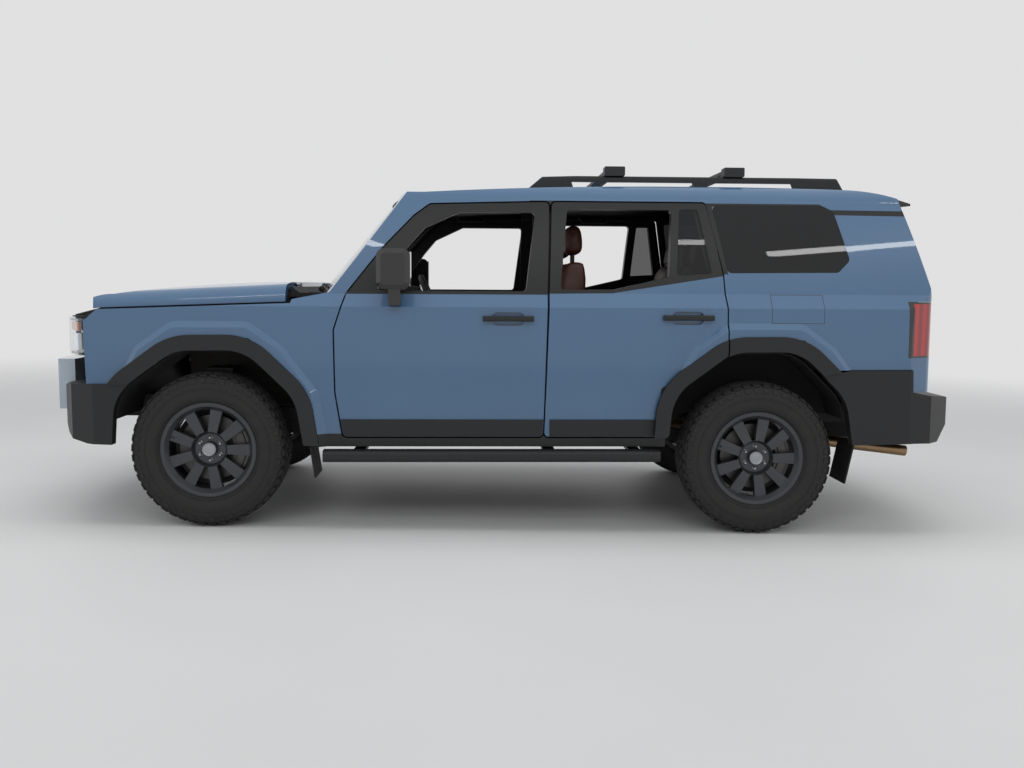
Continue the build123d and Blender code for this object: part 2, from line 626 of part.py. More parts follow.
# Nose: headlamps and grille stand on the radiator support
NOSE_HALF = 905
LAMP_LOW_Z, LAMP_TOP_Z = 880, 1076
LAMP_INNER_HALF = 566
NOSE_X = FX + 800
NOSE_SIDE_X = FX + 612
with BuildPart() as nose_plan:
    with BuildSketch(Plane.XY.offset(400)) as outline:
        with BuildLine():
            ThreePointArc((NOSE_X, 0), (NOSE_X - 12, 400), (NOSE_X - 55, 760))
            Polyline(
                (NOSE_X - 55, 760), (NOSE_SIDE_X + 30, SHOULDER_HALF - 12), (NOSE_SIDE_X, SHOULDER_HALF - 6),
            )
            Polyline((NOSE_SIDE_X, SHOULDER_HALF - 6), (NOSE_SIDE_X, 0))
            mirror(about=Plane.XZ)
        make_face()
    extrude(amount=800)
with BuildPart() as headlamps:
    add(common(nose_plan.part, block(NOSE_SIDE_X, NOSE_X, LAMP_INNER_HALF, WIDE, LAMP_LOW_Z, LAMP_TOP_Z)))
    add(block(NOSE_SIDE_X - 10, NOSE_X - 130, 0, 800, 0, ROOF_Z), mode=Mode.SUBTRACT)
    mirror(about=Plane.XZ)
save(headlamps.part, "headlamps")
GRILLE_HALF = LAMP_INNER_HALF - 4
GRILLE_LOW_Z, GRILLE_TOP_Z = 860, 1084
GRILLE_DEPTH = 60
GRILLE_RIM = 26
GRILLE_BAR = 16
GRILLE_ROWS = 4
with BuildPart() as grille:
    add(common(
        nose_plan.part,
        block(NOSE_X - GRILLE_DEPTH - 30, NOSE_X, -GRILLE_HALF, GRILLE_HALF, GRILLE_LOW_Z, GRILLE_TOP_Z),
    ))
    row_pitch = (GRILLE_TOP_Z - GRILLE_LOW_Z - 2 * GRILLE_RIM + GRILLE_BAR) / GRILLE_ROWS
    for row in range(GRILLE_ROWS):
        low = GRILLE_LOW_Z + GRILLE_RIM + row * row_pitch
        add(block(
            NOSE_X - 2 * GRILLE_DEPTH, NOSE_X, -GRILLE_HALF + GRILLE_RIM, GRILLE_HALF - GRILLE_RIM,
            low, low + row_pitch - GRILLE_BAR,
        ), mode=Mode.SUBTRACT)
save(grille.part, "grille")

# Front bumper with its light insert
BUMPER_SIDE = SIDE_HALF + 20
BUMPER_WALL = 60
FRONT_X = FX + FRONT_OVERHANG
FRONT_BUMPER = [
    (FX + 340, BUMPER_TOP_Z), (FX + 430, 430), (FX + 600, 436), (FX + 760, 470), (FX + 840, 560),
    (FX + 840, 700), (FX + 720, BUMPER_TOP_Z),
]


def bumper_plan(inset):
    """The front bumper's plan form, moved inwards by inset."""
    with BuildPart() as form:
        with BuildSketch(Plane.XY):
            with BuildLine():
                face_x = FRONT_X - inset
                side_y = BUMPER_SIDE - inset
                ThreePointArc((face_x - 60, 0), (face_x - 72, 400), (face_x - 125, 700))
                Polyline(
                    (face_x - 125, 700), (FX + 690 - inset, side_y - 67), (FX + 560, side_y),
                    (FX + 300, side_y), (FX + 300, 0),
                )
                mirror(about=Plane.XZ)
            make_face()
        extrude(amount=1000)
    return form.part


with BuildPart() as front_bumper:
    add(common(side_prism(FRONT_BUMPER, -WIDE, WIDE), bumper_plan(0)))
    add(common(
        side_prism(
            [(FX + 300, 300), (FX + 300, 706), (FX + 715, 711), (FX + 900, 650), (FX + 900, 300)],
            -WIDE, WIDE,
        ),
        bumper_plan(BUMPER_WALL),
    ), mode=Mode.SUBTRACT)
    add(block(FX + 300, FRONT_X, -640, 640, 575, 1000), mode=Mode.SUBTRACT)
    add(side_prism(arch_points(FX), -WIDE, WIDE, ARCH_CORNER), mode=Mode.SUBTRACT)
save(front_bumper.part, "front_bumper")
INSERT_HALF = 636
INSERT_BACK_X = FRONT_X - 150
with BuildPart() as bumper_insert:
    with BuildSketch(Plane.XY.offset(576)):
        with BuildLine():
            ThreePointArc((FRONT_X, 0), (FRONT_X - 14, 330), (FRONT_X - 62, INSERT_HALF))
            Polyline((FRONT_X - 62, INSERT_HALF), (INSERT_BACK_X, INSERT_HALF), (INSERT_BACK_X, 0))
            mirror(about=Plane.XZ)
        make_face()
    extrude(amount=270)
    add(side_prism(
        [(FX, 577), (FRONT_X, 577), (FRONT_X, 846), (FX, 846)], -WIDE, WIDE, corner=42,
    ), mode=Mode.INTERSECT)
save(bumper_insert.part, "bumper_insert")

# Tailgate: hinged under the roof's rear edge, with its glass and a small spoiler
LID_GAP = 9
TAILGATE_GLASS_LOW_Z, TAILGATE_GLASS_TOP_Z = 1250, 1640
TAILGATE_GLASS_HALF = 610
rear_glass_layer = without(profile_prism(0, SEAT_GAP), profile_prism(0, 6.7))
rear_glass_outline = [
    (-TAILGATE_GLASS_HALF - 40, TAILGATE_GLASS_LOW_Z), (TAILGATE_GLASS_HALF + 40, TAILGATE_GLASS_LOW_Z),
    (TAILGATE_GLASS_HALF, TAILGATE_GLASS_TOP_Z), (-TAILGATE_GLASS_HALF, TAILGATE_GLASS_TOP_Z),
]
with BuildPart() as tailgate:
    add(tail_shell)
    add(block(
        ROOF_REAR_X - LID_GAP, RX - 1200, -TAILGATE_HALF, TAILGATE_HALF, TAILGATE_LOW_Z, 2 * ROOF_Z,
    ), mode=Mode.INTERSECT)
    add(common(
        without(profile_prism(0, 0), profile_prism(0, 7)),
        front_prism(rear_glass_outline, RX - 1200, RX - 600, 40),
    ), mode=Mode.SUBTRACT)
    add(front_prism(rear_glass_outline, RX - 1200, RX - 600, 40, -18), mode=Mode.SUBTRACT)
    for side in (1, -1):
        slot_y = side * TAILGATE_HINGE_Y
        add(block(
            TAILGATE_HINGE_X - TAIL_EYE - 5, ROOF_REAR_X, slot_y - TAIL_SLOT, slot_y + TAIL_SLOT,
            BELT_Z, 2 * ROOF_Z,
        ), mode=Mode.SUBTRACT)
        with Locations((TAILGATE_HINGE_X, slot_y, TAILGATE_HINGE_Z)):
            Cylinder(TAIL_PIN + PIN_GAP, 5 * TAIL_SLOT, rotation=(90, 0, 0), mode=Mode.SUBTRACT)
save(tailgate.part, "tailgate")
with BuildPart() as tailgate_glass:
    pane = front_prism(rear_glass_outline, RX - 1200, RX - 600, 40, -SEAT_GAP)
    add(common(rear_glass_layer, plan_cabin.part, pane))
save(tailgate_glass.part, "tailgate_glass")
SPOILER_HALF = 630
SPOILER_TIP_X = RX - 896
with BuildPart() as spoiler:
    add(side_prism(
        [(TAILGATE_HINGE_X - 60, 1734), (TAILGATE_HINGE_X - 90, 1738), (SPOILER_TIP_X, 1708),
         (SPOILER_TIP_X, 1696), (REAR_TOP_X - 12, 1684), (REAR_TOP_X + 4, 1700)], -SPOILER_HALF, SPOILER_HALF,
    ))
    add(profile_prism(-SEAT_GAP, -SEAT_GAP), mode=Mode.SUBTRACT)
save(spoiler.part, "spoiler")

# Rear bumper: a step bumper that wraps to the rear arches


def rear_bumper_plan(inset):
    """The rear bumper's plan form, moved inwards by inset."""
    with BuildPart() as form:
        with BuildSketch(Plane.XY):
            with BuildLine():
                face_x = REAR_X + inset
                side_y = BUMPER_SIDE - inset
                ThreePointArc((face_x, 0), (face_x + 10, 400), (face_x + 60, 740))
                Polyline(
                    (face_x + 60, 740), (RX - 930 + inset, side_y - 52), (RX - 800, side_y - 10),
                    (RX - 300, side_y), (RX - 300, 0),
                )
                mirror(about=Plane.XZ)
            make_face()
        extrude(amount=1000)
    return form.part


with BuildPart() as rear_bumper:
    add(common(side_prism(REAR_BUMPER, -WIDE, WIDE), rear_bumper_plan(0)))
    add(common(
        side_prism(
            [(RX - 300, 300), (RX - 300, 900), (RX - 880, 900), (RX - 880, 654), (RX - 1200, 620),
             (RX - 1200, 300)],
            -WIDE, WIDE,
        ),
        rear_bumper_plan(BUMPER_WALL),
    ), mode=Mode.SUBTRACT)
    add(block(RX - 300, RX - 880, -760, 760, 300, 900), mode=Mode.SUBTRACT)
    add(block(RX - 300, RX - 1000, -760, 760, 300, 600), mode=Mode.SUBTRACT)
    add(side_prism(arch_points(RX), -WIDE, WIDE, ARCH_CORNER), mode=Mode.SUBTRACT)
save(rear_bumper.part, "rear_bumper")


# Doors left and right, with handles, cladding, mirrors and the rear doors' fixed glass
HANDLE_Z = 1083
HANDLE_FOOT = 42
RECESS_DEPTH = 22


def handle(x_from, x_to, z):
    """One bar handle on two feet."""
    skin = SIDE_HALF - 4
    with BuildPart() as bar:
        add(block(x_from, x_to, skin + 14, skin + 38, z - 14, z + 14))
        fillet(bar.edges().filter_by(Axis.X), 8)
        for foot_x in (x_from + HANDLE_FOOT / 2, x_to - HANDLE_FOOT / 2):
            add(block(foot_x - 20, foot_x + 20, skin - 20, skin + 16, z - 12, z + 12))
        add(section_outer, mode=Mode.SUBTRACT)
    return bar.part


def finger_recess(x_from, x_to, z):
    """The hollow in the door's skin behind one handle's bar."""
    with BuildPart() as hollow:
        add(block(
            x_from + HANDLE_FOOT + 4, x_to - HANDLE_FOOT - 4, SHOULDER_HALF - RECESS_DEPTH, WIDE,
            z - 36, z + 32,
        ))
        fillet(hollow.edges().filter_by(Axis.Y), 30)
    return hollow.part


front_clad = common(
    clad_layer, side_prism(FRONT_DOOR, 0, WIDE, DOOR_CORNER, -2),
    block(FRONT_HINGE_X + 58, SPLIT_X - 50, 0, WIDE, 0, CLAD_TOP_Z),
)
rear_clad = common(
    without(clad_layer, side_prism(arch_points(RX), 0, WIDE, ARCH_CORNER, FLARE_BAND + 1)),
    side_prism(REAR_DOOR, 0, WIDE, DOOR_CORNER, -2),
    block(REAR_HINGE_X + 58, RX, 0, WIDE, 0, CLAD_TOP_Z),
)
FRONT_HANDLE = (SPLIT_X + 65, SPLIT_X + 326, HANDLE_Z)
REAR_HANDLE = (RX + 246, RX + 505, HANDLE_Z + 8)
fixed_pane = common(glass_layer, side_prism(FIXED_GLASS, 0, WIDE, corner=14, grow=-SEAT_GAP))

MIRROR_X = FX - 968
MIRROR_IN, MIRROR_OUT = SHOULDER_HALF + 24, SHOULDER_HALF + 156
with BuildPart() as mirror_unit:
    add(block(MIRROR_X - 84, MIRROR_X + 84, MIRROR_IN, MIRROR_OUT, BELT_Z + 14, BELT_Z + 218))
    fillet(mirror_unit.edges().filter_by(Axis.Y), 40)
    chamfer(mirror_unit.faces().sort_by(Axis.Y)[-1].edges(), 24)
    add(block(MIRROR_X - 30, MIRROR_X + 30, SHOULDER_HALF - 64, MIRROR_IN + 42, SHOULDER_Z + 8, BELT_Z + 60))
    add(section_outer, mode=Mode.SUBTRACT)

for side, is_left in (("left", True), ("right", False)):
    pieces = {
        f"door_front_{side}": [without(front_door, finger_recess(*FRONT_HANDLE))],
        f"door_rear_{side}": [without(rear_door.part, finger_recess(*REAR_HANDLE))],
        f"door_trim_front_{side}": [handle(*FRONT_HANDLE), front_clad],
        f"door_trim_rear_{side}": [handle(*REAR_HANDLE), rear_clad, door_flare],
        f"door_glass_{side}": [fixed_pane],
        f"mirror_{side}": [mirror_unit.part],
    }
    for node, solids in pieces.items():
        with BuildPart() as door_piece:
            for solid in solids:
                if is_left:
                    add(solid)
                else:
                    mirror(solid, about=Plane.XZ)
        save(door_piece.part, node)

# Ladder frame under the body, with the spring seats and bumper ends
RAIL_IN, RAIL_OUT = 405, 480
RAIL_LOW_Z, RAIL_TOP_Z = 385, 528
RAIL_FRONT_X = INSERT_BACK_X - SEAT_GAP
RAIL_REAR_X = RX - 1074
RAIL = [
    (RAIL_FRONT_X, 520), (RAIL_FRONT_X, 640), (FX + 420, 640), (FX - 420, 560), (FX - 620, RAIL_TOP_Z),
    (RX + 480, RAIL_TOP_Z), (RX + 300, 640), (RX - 240, 660), (RX - 520, 600), (RAIL_REAR_X, 600),
    (RAIL_REAR_X, 490), (RX - 500, 490), (RX - 220, 560), (RX + 280, 540), (RX + 520, RAIL_LOW_Z),
    (FX - 600, RAIL_LOW_Z), (FX - 380, 420), (FX + 400, 520),
]
CROSS_MEMBERS = [
    # x, low z, high z, length along x
    (FX + 700, 530, 630, 60),
    (FX + 40, 470, 560, 120),
    (FX - 800, 440, 520, 80),
    (RX + 760, 440, 520, 80),
    (RX - 170, 590, 650, 70),
    (RX - 1041, 500, 590, 24),
]
ARM_Z = 250
TOWER_Y = 640
TOWER_Z = 800
SPRING_Y = 565
SPRING_SEAT_Z = 610
FLOOR_Z = 545
MOUNT_STATIONS = (FX - 700, SPLIT_X, RX + 600)
MOUNT_RADIUS = 36
with BuildPart() as ladder_frame:
    for y_from in (RAIL_IN, -RAIL_OUT):
        add(side_prism(RAIL, y_from, y_from + RAIL_OUT - RAIL_IN))
        for station in MOUNT_STATIONS:
            with Locations((station, y_from + (RAIL_OUT - RAIL_IN) / 2, (RAIL_TOP_Z + FLOOR_Z) / 2)):
                Cylinder(MOUNT_RADIUS, FLOOR_Z - RAIL_TOP_Z)
        outer = RAIL_OUT if y_from > 0 else -RAIL_OUT
        side = 1 if y_from > 0 else -1
        add(block(FX - 150, FX + 150, y_from, y_from + RAIL_OUT - RAIL_IN, ARM_Z - 25, RAIL_TOP_Z))
        add(block(FX - 70, FX + 70, outer - side * 40, outer, RAIL_TOP_Z, TOWER_Z))
        add(block(FX - 70, FX + 70, outer, side * TOWER_Y, TOWER_Z - 30, TOWER_Z))
        add(block(
            RX - 70, RX + 70, outer - side * 20, side * (SPRING_Y + 65), SPRING_SEAT_Z, SPRING_SEAT_Z + 30,
        ))
    for x, low, high, length in CROSS_MEMBERS:
        add(block(x - length / 2, x + length / 2, -RAIL_IN - 5, RAIL_IN + 5, low, high))
save(ladder_frame.part, "ladder_frame")

# Floor with its tunnel, firewall, raised load floor and rear panel
FLOOR_WALL = 30
FLOOR_HALF = INNER_SILL_Y - SEAT_GAP
TUNNEL_HALF, TUNNEL_Z = 190, 690
FIREWALL_X = FX - 640
LOAD_FLOOR_X, LOAD_FLOOR_Z = RX + 400, 720
WHEELHOUSE_Y = 640
tunnel = [
    (-FLOOR_HALF, FLOOR_Z), (-TUNNEL_HALF, FLOOR_Z), (-TUNNEL_HALF + 40, TUNNEL_Z),
    (TUNNEL_HALF - 40, TUNNEL_Z), (TUNNEL_HALF, FLOOR_Z), (FLOOR_HALF, FLOOR_Z),
    (FLOOR_HALF, FLOOR_Z + FLOOR_WALL),
    (TUNNEL_HALF + 24, FLOOR_Z + FLOOR_WALL), (TUNNEL_HALF - 16, TUNNEL_Z + FLOOR_WALL),
    (-TUNNEL_HALF + 16, TUNNEL_Z + FLOOR_WALL), (-TUNNEL_HALF - 24, FLOOR_Z + FLOOR_WALL),
    (-FLOOR_HALF, FLOOR_Z + FLOOR_WALL),
]
with BuildPart() as floor_pan:
    add(front_prism(tunnel, LOAD_FLOOR_X + 100, FIREWALL_X))
    add(block(FIREWALL_X - FLOOR_WALL, FIREWALL_X, -FLOOR_HALF, FLOOR_HALF, FLOOR_Z, COWL_LOW_Z - SEAT_GAP))
    add(block(
        FIREWALL_X - FLOOR_WALL, FIREWALL_X, -TUNNEL_HALF + 42, TUNNEL_HALF - 42, 300, TUNNEL_Z - 2,
    ), mode=Mode.SUBTRACT)
    load_top_z = LOAD_FLOOR_Z + FLOOR_WALL
    load_half = WHEELHOUSE_Y - SEAT_GAP
    add(block(LOAD_FLOOR_X + 100, LOAD_FLOOR_X + 130, -FLOOR_HALF, FLOOR_HALF, FLOOR_Z, load_top_z))
    add(block(RX - 820, LOAD_FLOOR_X + 110, -load_half, load_half, LOAD_FLOOR_Z, load_top_z))
    add(block(RX - 820, RX - 505, -824, 824, LOAD_FLOOR_Z, load_top_z))
    add(block(RX - 820, RX - 790, -760, 760, 684, LOAD_FLOOR_Z + 1))
save(floor_pan.part, "floor_pan")

# Wheel arch liners: shells along the arches, the rear ones closed inboard
LINER_WALL = 8
LINER_LOW_Z = 560
LINERS = [
    # axle x, gap to the arch, inner y, outer y, inboard wall
    (FX, SEAT_GAP, 520, 925, 0),
    (RX, SHUT_GAP, WHEELHOUSE_Y, 900, LINER_WALL),
]
with BuildPart() as wheel_liners:
    for axle_x, gap, inner_y, outer_y, wall in LINERS:
        arch = arch_points(axle_x)
        add(without(
            side_prism(arch, inner_y, outer_y, ARCH_CORNER, -gap),
            side_prism(arch, inner_y + wall, outer_y + LINER_WALL, ARCH_CORNER, -gap - LINER_WALL),
            block(axle_x - WIDE, axle_x + WIDE, 0, WIDE, 0, LINER_LOW_Z),
        ))
    mirror(about=Plane.XZ)
save(wheel_liners.part, "wheel_liners")

# Radiator support and aprons behind the grille
with BuildPart() as radiator_support:
    add(block(NOSE_SIDE_X - 120, NOSE_SIDE_X - 30, -560, 560, 641, 1080))
    add(block(NOSE_SIDE_X - 60, NOSE_SIDE_X, -880, 880, LAMP_LOW_Z - 40, LAMP_LOW_Z))
    add(block(NOSE_SIDE_X - 60, NOSE_SIDE_X, -880, 880, 1040, 1090))
    add(block(NOSE_SIDE_X - 60, NOSE_X - 70, -540, 540, LAMP_LOW_Z - 40, GRILLE_LOW_Z - SEAT_GAP))
    add(block(NOSE_SIDE_X - 60, NOSE_X - 130, -600, 600, 744, 770))
    for y_from in (RAIL_IN, -RAIL_OUT):
        add(block(NOSE_SIDE_X - 120, NOSE_SIDE_X + 90, y_from, y_from + 75, 640, 800))
save(radiator_support.part, "radiator_support")

# Engine, gearbox and transfer case in one block
with BuildPart() as powertrain:
    add(block(FX - 320, FX + 260, -250, 250, 562, 1090))
    add(front_prism(
        [(-130, 520 + SEAT_GAP), (130, 520 + SEAT_GAP), (140, 600), (90, 670), (-90, 670), (-140, 600)],
        FX - 1300, FX - 300,
    ))
    add(block(FX - 60, FX + 40, -330, 330, 561, 620))
    for y_from in (-RAIL_IN, 300):
        add(block(FX - 60, FX + 40, y_from, y_from + 105, 575, 615))
save(powertrain.part, "powertrain")

# Fuel tank inside the right rail, exhaust along the left
with BuildPart() as fuel_tank:
    add(block(RX + 810, RX + 1500, -RAIL_IN + SEAT_GAP, -170, 400, 540))
    fillet(fuel_tank.edges().filter_by(Axis.X), 30)
save(fuel_tank.part, "fuel_tank")

PIPE_RADIUS = 30
PIPE_Y, PIPE_Z = 250, 405
PIPE_BEND = 90
with BuildPart() as exhaust:
    with BuildLine() as pipe_route:
        FilletPolyline(
            (FX - 320 - SEAT_GAP, 210, 640), (FX - 460, 210, 640), (FX - 720, PIPE_Y, PIPE_Z),
            (RX + 600, PIPE_Y, PIPE_Z), (RX + 260, PIPE_Y, 480), (RX - 240, PIPE_Y, 480),
            (RX - 420, 540, 400), (RX - 960, 550, 335), radius=PIPE_BEND,
        )
    with BuildSketch(Plane(origin=pipe_route.line @ 0, z_dir=pipe_route.line % 0)):
        Circle(PIPE_RADIUS)
    sweep()
    with Locations((RX + 180, PIPE_Y, 480)):
        Cylinder(60, 300, rotation=(0, 90, 0))
    add(block(FX - 830, FX - 770, PIPE_Y - 10, PIPE_Y + 10, PIPE_Z, 440 - SEAT_GAP))
    add(block(RX + 730, RX + 790, PIPE_Y - 10, PIPE_Y + 10, PIPE_Z, 440 - SEAT_GAP))
save(exhaust.part, "exhaust")

# Side steps on brackets from the frame, mud flaps behind the wheels
STEP_IN, STEP_OUT = SILL_HALF - 30, SILL_HALF + 54
STEP_LOW_Z, STEP_TOP_Z = 341, 404
STEP_FRONT_X, STEP_REAR_X = FX - 596, RX + 511
STEP_BRACKETS = (FX - 780, SPLIT_X - 20, RX + 640)
with BuildPart() as side_step:
    add(block(STEP_REAR_X, STEP_FRONT_X, STEP_IN, STEP_OUT, STEP_LOW_Z, STEP_TOP_Z))
    fillet(side_step.edges().filter_by(Axis.X), 24)
    for bracket_x in STEP_BRACKETS:
        add(block(
            bracket_x - 30, bracket_x + 30, RAIL_OUT + SEAT_GAP, STEP_IN + 20, STEP_TOP_Z - 18, STEP_TOP_Z,
        ))
with BuildPart() as side_steps:
    add(side_step.part)
    mirror(about=Plane.XZ)
save(side_steps.part, "side_steps")

FLAP_IN, FLAP_OUT = SIDE_HALF - 232, SIDE_HALF - 8
FLAPS = [
    # lower x, lower z, upper x, upper z
    (FX - 548, 256, FX - 524, DOOR_LOW_Z - 50 - SEAT_GAP),
    (RX - 470, 222, RX - 512, 430 - SEAT_GAP),
]
FLAP_WALL = 8
with BuildPart() as mud_flaps:
    for low_x, low_z, top_x, top_z in FLAPS:
        add(side_prism(
            [(low_x, low_z), (top_x, top_z), (top_x - FLAP_WALL, top_z), (low_x - FLAP_WALL, low_z)],
            FLAP_IN, FLAP_OUT,
        ))
    mirror(about=Plane.XZ)
save(mud_flaps.part, "mud_flaps")

# Roof rails with long end caps, and two cross bars clamped on them
RAIL_Y = 620
RAIL_WIDTH = 44
ROOF_RAIL_TOP = 1840
CAP_REAR_X = FX - 1912
with BuildPart() as roof_rail:
    add(side_prism(
        [(FX - 1658, 1770), (FX - 1734, ROOF_RAIL_TOP - 6), (CAP_REAR_X, ROOF_RAIL_TOP),
         (RX - 250, ROOF_RAIL_TOP), (RX - 478, ROOF_RAIL_TOP - 2), (RX - 525, 1760)],
        RAIL_Y - RAIL_WIDTH / 2, RAIL_Y + RAIL_WIDTH / 2,
    ))
    add(side_prism(
        [(CAP_REAR_X, 1740), (CAP_REAR_X + 22, ROOF_RAIL_TOP - 30), (RX + 300, ROOF_RAIL_TOP - 30),
         (RX + 290, 1740)],
        0, WIDE,
    ), mode=Mode.SUBTRACT)
    add(side_prism(
        [(RX + 230, 1740), (RX + 220, ROOF_RAIL_TOP - 30), (RX - 240, ROOF_RAIL_TOP - 30), (RX - 270, 1740)],
        0, WIDE,
    ), mode=Mode.SUBTRACT)
    fillet(roof_rail.faces().sort_by(Axis.Z)[-1].edges().filter_by(Axis.X), 12)
    add(common(section_outer, profile_prism(0, 0)), mode=Mode.SUBTRACT)
with BuildPart() as roof_rails:
    add(roof_rail.part)
    mirror(about=Plane.XZ)
save(roof_rails.part, "roof_rails")
CROSS_BARS = (FX - 2122, RX + 82)
BAR_TOP_Z = 1886
with BuildPart() as cross_bars:
    for bar_x in CROSS_BARS:
        add(block(bar_x - 38, bar_x + 38, -RAIL_Y - 10, RAIL_Y + 10, BAR_TOP_Z - 24, BAR_TOP_Z))
        for foot_y in (-RAIL_Y, RAIL_Y):
            add(block(
                bar_x - 55, bar_x + 55, foot_y - 36, foot_y + 36, ROOF_RAIL_TOP + SEAT_GAP, BAR_TOP_Z + 4,
            ))
    fillet(cross_bars.edges().filter_by(Axis.Y), 6)
save(cross_bars.part, "cross_bars")

# Seats, rear bench and dashboard
SEAT_Y = 372
SEAT_WIDTH = 520
FLOOR_TOP_Z = FLOOR_Z + FLOOR_WALL
SEAT_X = FX - 1800
REST_LOW_Z, REST_TOP_Z = 1420, 1590
SEAT = [(SEAT_X - 60, 800), (SEAT_X + 530, 830), (SEAT_X + 530, 930), (SEAT_X, 900)]
SEAT_BACK = [
    (SEAT_X - 20, 830), (SEAT_X + 50, 905), (SEAT_X - 60, 1395), (SEAT_X - 190, 1395), (SEAT_X - 120, 850),
]
with BuildPart() as front_seats:
    for seat_y in (-SEAT_Y, SEAT_Y):
        add(side_prism(SEAT, seat_y - SEAT_WIDTH / 2, seat_y + SEAT_WIDTH / 2, 20))
        add(side_prism(SEAT_BACK, seat_y - SEAT_WIDTH / 2 + 10, seat_y + SEAT_WIDTH / 2 - 10, 20))
        add(side_prism(
            [(SEAT_X - 70, REST_LOW_Z), (SEAT_X - 80, REST_TOP_Z), (SEAT_X - 170, REST_TOP_Z),
             (SEAT_X - 180, REST_LOW_Z)],
            seat_y - 130, seat_y + 130, 30,
        ))
        for post_y in (seat_y - 60, seat_y + 60):
            add(block(SEAT_X - 132, SEAT_X - 118, post_y - 7, post_y + 7, 1380, 1440))
            add(block(SEAT_X + 60, SEAT_X + 480, post_y - 12, post_y + 12, FLOOR_TOP_Z, 830))
save(front_seats.part, "front_seats")
BENCH_X = RX + 360
with BuildPart() as rear_bench:
    add(side_prism(
        [(BENCH_X + 10, 850), (BENCH_X + 480, 850), (BENCH_X + 500, 930), (BENCH_X + 60, 900)], -600, 600, 20,
    ))
    add(side_prism(
        [(BENCH_X - 20, 830), (BENCH_X + 50, 905), (BENCH_X - 90, 1385), (BENCH_X - 210, 1385),
         (BENCH_X - 120, 850)],
        -600, 600, 20,
    ))
    for rest_y in (-380, 0, 380):
        add(side_prism(
            [(BENCH_X - 110, 1380), (BENCH_X - 120, 1530), (BENCH_X - 200, 1530), (BENCH_X - 205, 1380)],
            rest_y - 125, rest_y + 125, 24,
        ))
    for base_y in (-560, 240):
        add(block(LOAD_FLOOR_X + 140, BENCH_X + 400, base_y, base_y + 320, FLOOR_TOP_Z, 860))
    add(block(BENCH_X - 60, LOAD_FLOOR_X + 150, -560, 560, LOAD_FLOOR_Z + FLOOR_WALL, 860))
save(rear_bench.part, "rear_bench")
DASH_HALF = INNER_SILL_Y - 1
CONSOLE_HALF = 100
CONSOLE_REAR_X, CONSOLE_TOP_Z = FX - 1900, 960
WHEEL_AXIS_TILT = 24
STEER_X, STEER_Z = FX - 1140, 1140
with BuildPart() as dashboard:
    add(side_prism(
        [(FIREWALL_X - FLOOR_WALL, 900), (FIREWALL_X - FLOOR_WALL, 1160), (FX - 900, 1205), (FX - 1030, 1190),
         (FX - 1060, 1120), (FX - 1000, 980), (FX - 900, 860), (FX - 800, 860)], -DASH_HALF, DASH_HALF,
    ))
    add(block(FX - 1500, FX - 900, -CONSOLE_HALF, CONSOLE_HALF, TUNNEL_Z + FLOOR_WALL, 900))
    add(block(
        CONSOLE_REAR_X, FX - 1490, -CONSOLE_HALF, CONSOLE_HALF, TUNNEL_Z + FLOOR_WALL, CONSOLE_TOP_Z,
    ))
    tilt = radians(WHEEL_AXIS_TILT)
    column = Plane(origin=(STEER_X, SEAT_Y, STEER_Z), z_dir=(cos(tilt), 0, -sin(tilt)))
    with BuildSketch(column.offset(40)):
        Circle(45)
    extrude(amount=200)
    with BuildSketch(column.offset(10)):
        Circle(14)
    extrude(amount=60)
save(dashboard.part, "dashboard")
STEER_RADIUS = 185
with BuildPart() as steering_wheel:
    with BuildSketch(column):
        Circle(STEER_RADIUS)
        Circle(STEER_RADIUS - 30, mode=Mode.SUBTRACT)
    extrude(amount=15, both=True)
    chamfer(steering_wheel.edges(), 9)
    with BuildSketch(column.offset(-10)):
        Circle(70)
        Rectangle(46, 2 * STEER_RADIUS - 20)
        with Locations((STEER_RADIUS / 2, 0)):
            Rectangle(STEER_RADIUS - 10, 60)
    extrude(amount=26)
    with BuildSketch(column.offset(6)):
        Circle(14 + PIN_GAP)
    extrude(amount=20, mode=Mode.SUBTRACT)
save(steering_wheel.part, "steering_wheel")

# Wheels: a tyre, and a rim with nine flat spokes and the brake disc behind them
RIM_HALF = 102
RIM_WALL = 12
FLANGE_WALL = 4.5
BORE_RADIUS = SPINDLE_RADIUS + PIN_GAP
FACE_IN, FACE_OUT = 52, 84
HUB_RADIUS = 78
SPOKES = 9
WINDOW_IN, WINDOW_OUT = 92, 204
DISC_RADIUS = 172
DISC_IN, DISC_OUT = -22, 4
BULGE_RADIUS = (RIM_FLANGE + TYRE_RADIUS) / 2 - 20
tyre_half = TYRE_WIDTH / 2
with BuildPart() as tyre:
    with BuildSketch(Plane.YZ):
        with BuildLine():
            bead = RIM_HALF - 5
            Polyline(
                (0, RIM_RADIUS + SEAT_GAP), (bead, RIM_RADIUS + SEAT_GAP), (bead, RIM_FLANGE),
                (tyre_half - 4, BULGE_RADIUS - 22), (tyre_half - 4, BULGE_RADIUS + 22),
                (tyre_half - 9, TYRE_RADIUS - 40), (tyre_half - 26, TYRE_RADIUS), (0, TYRE_RADIUS),
            )
            mirror(about=Plane.YZ)
        make_face()
    revolve(axis=Axis.Y)

with BuildSketch() as rim_window:
    with BuildLine():
        Polyline(
            (WINDOW_IN, -9), (WINDOW_OUT, -42), (WINDOW_OUT + 4, 0), (WINDOW_OUT, 42), (WINDOW_IN, 9),
            close=True,
        )
    make_face()

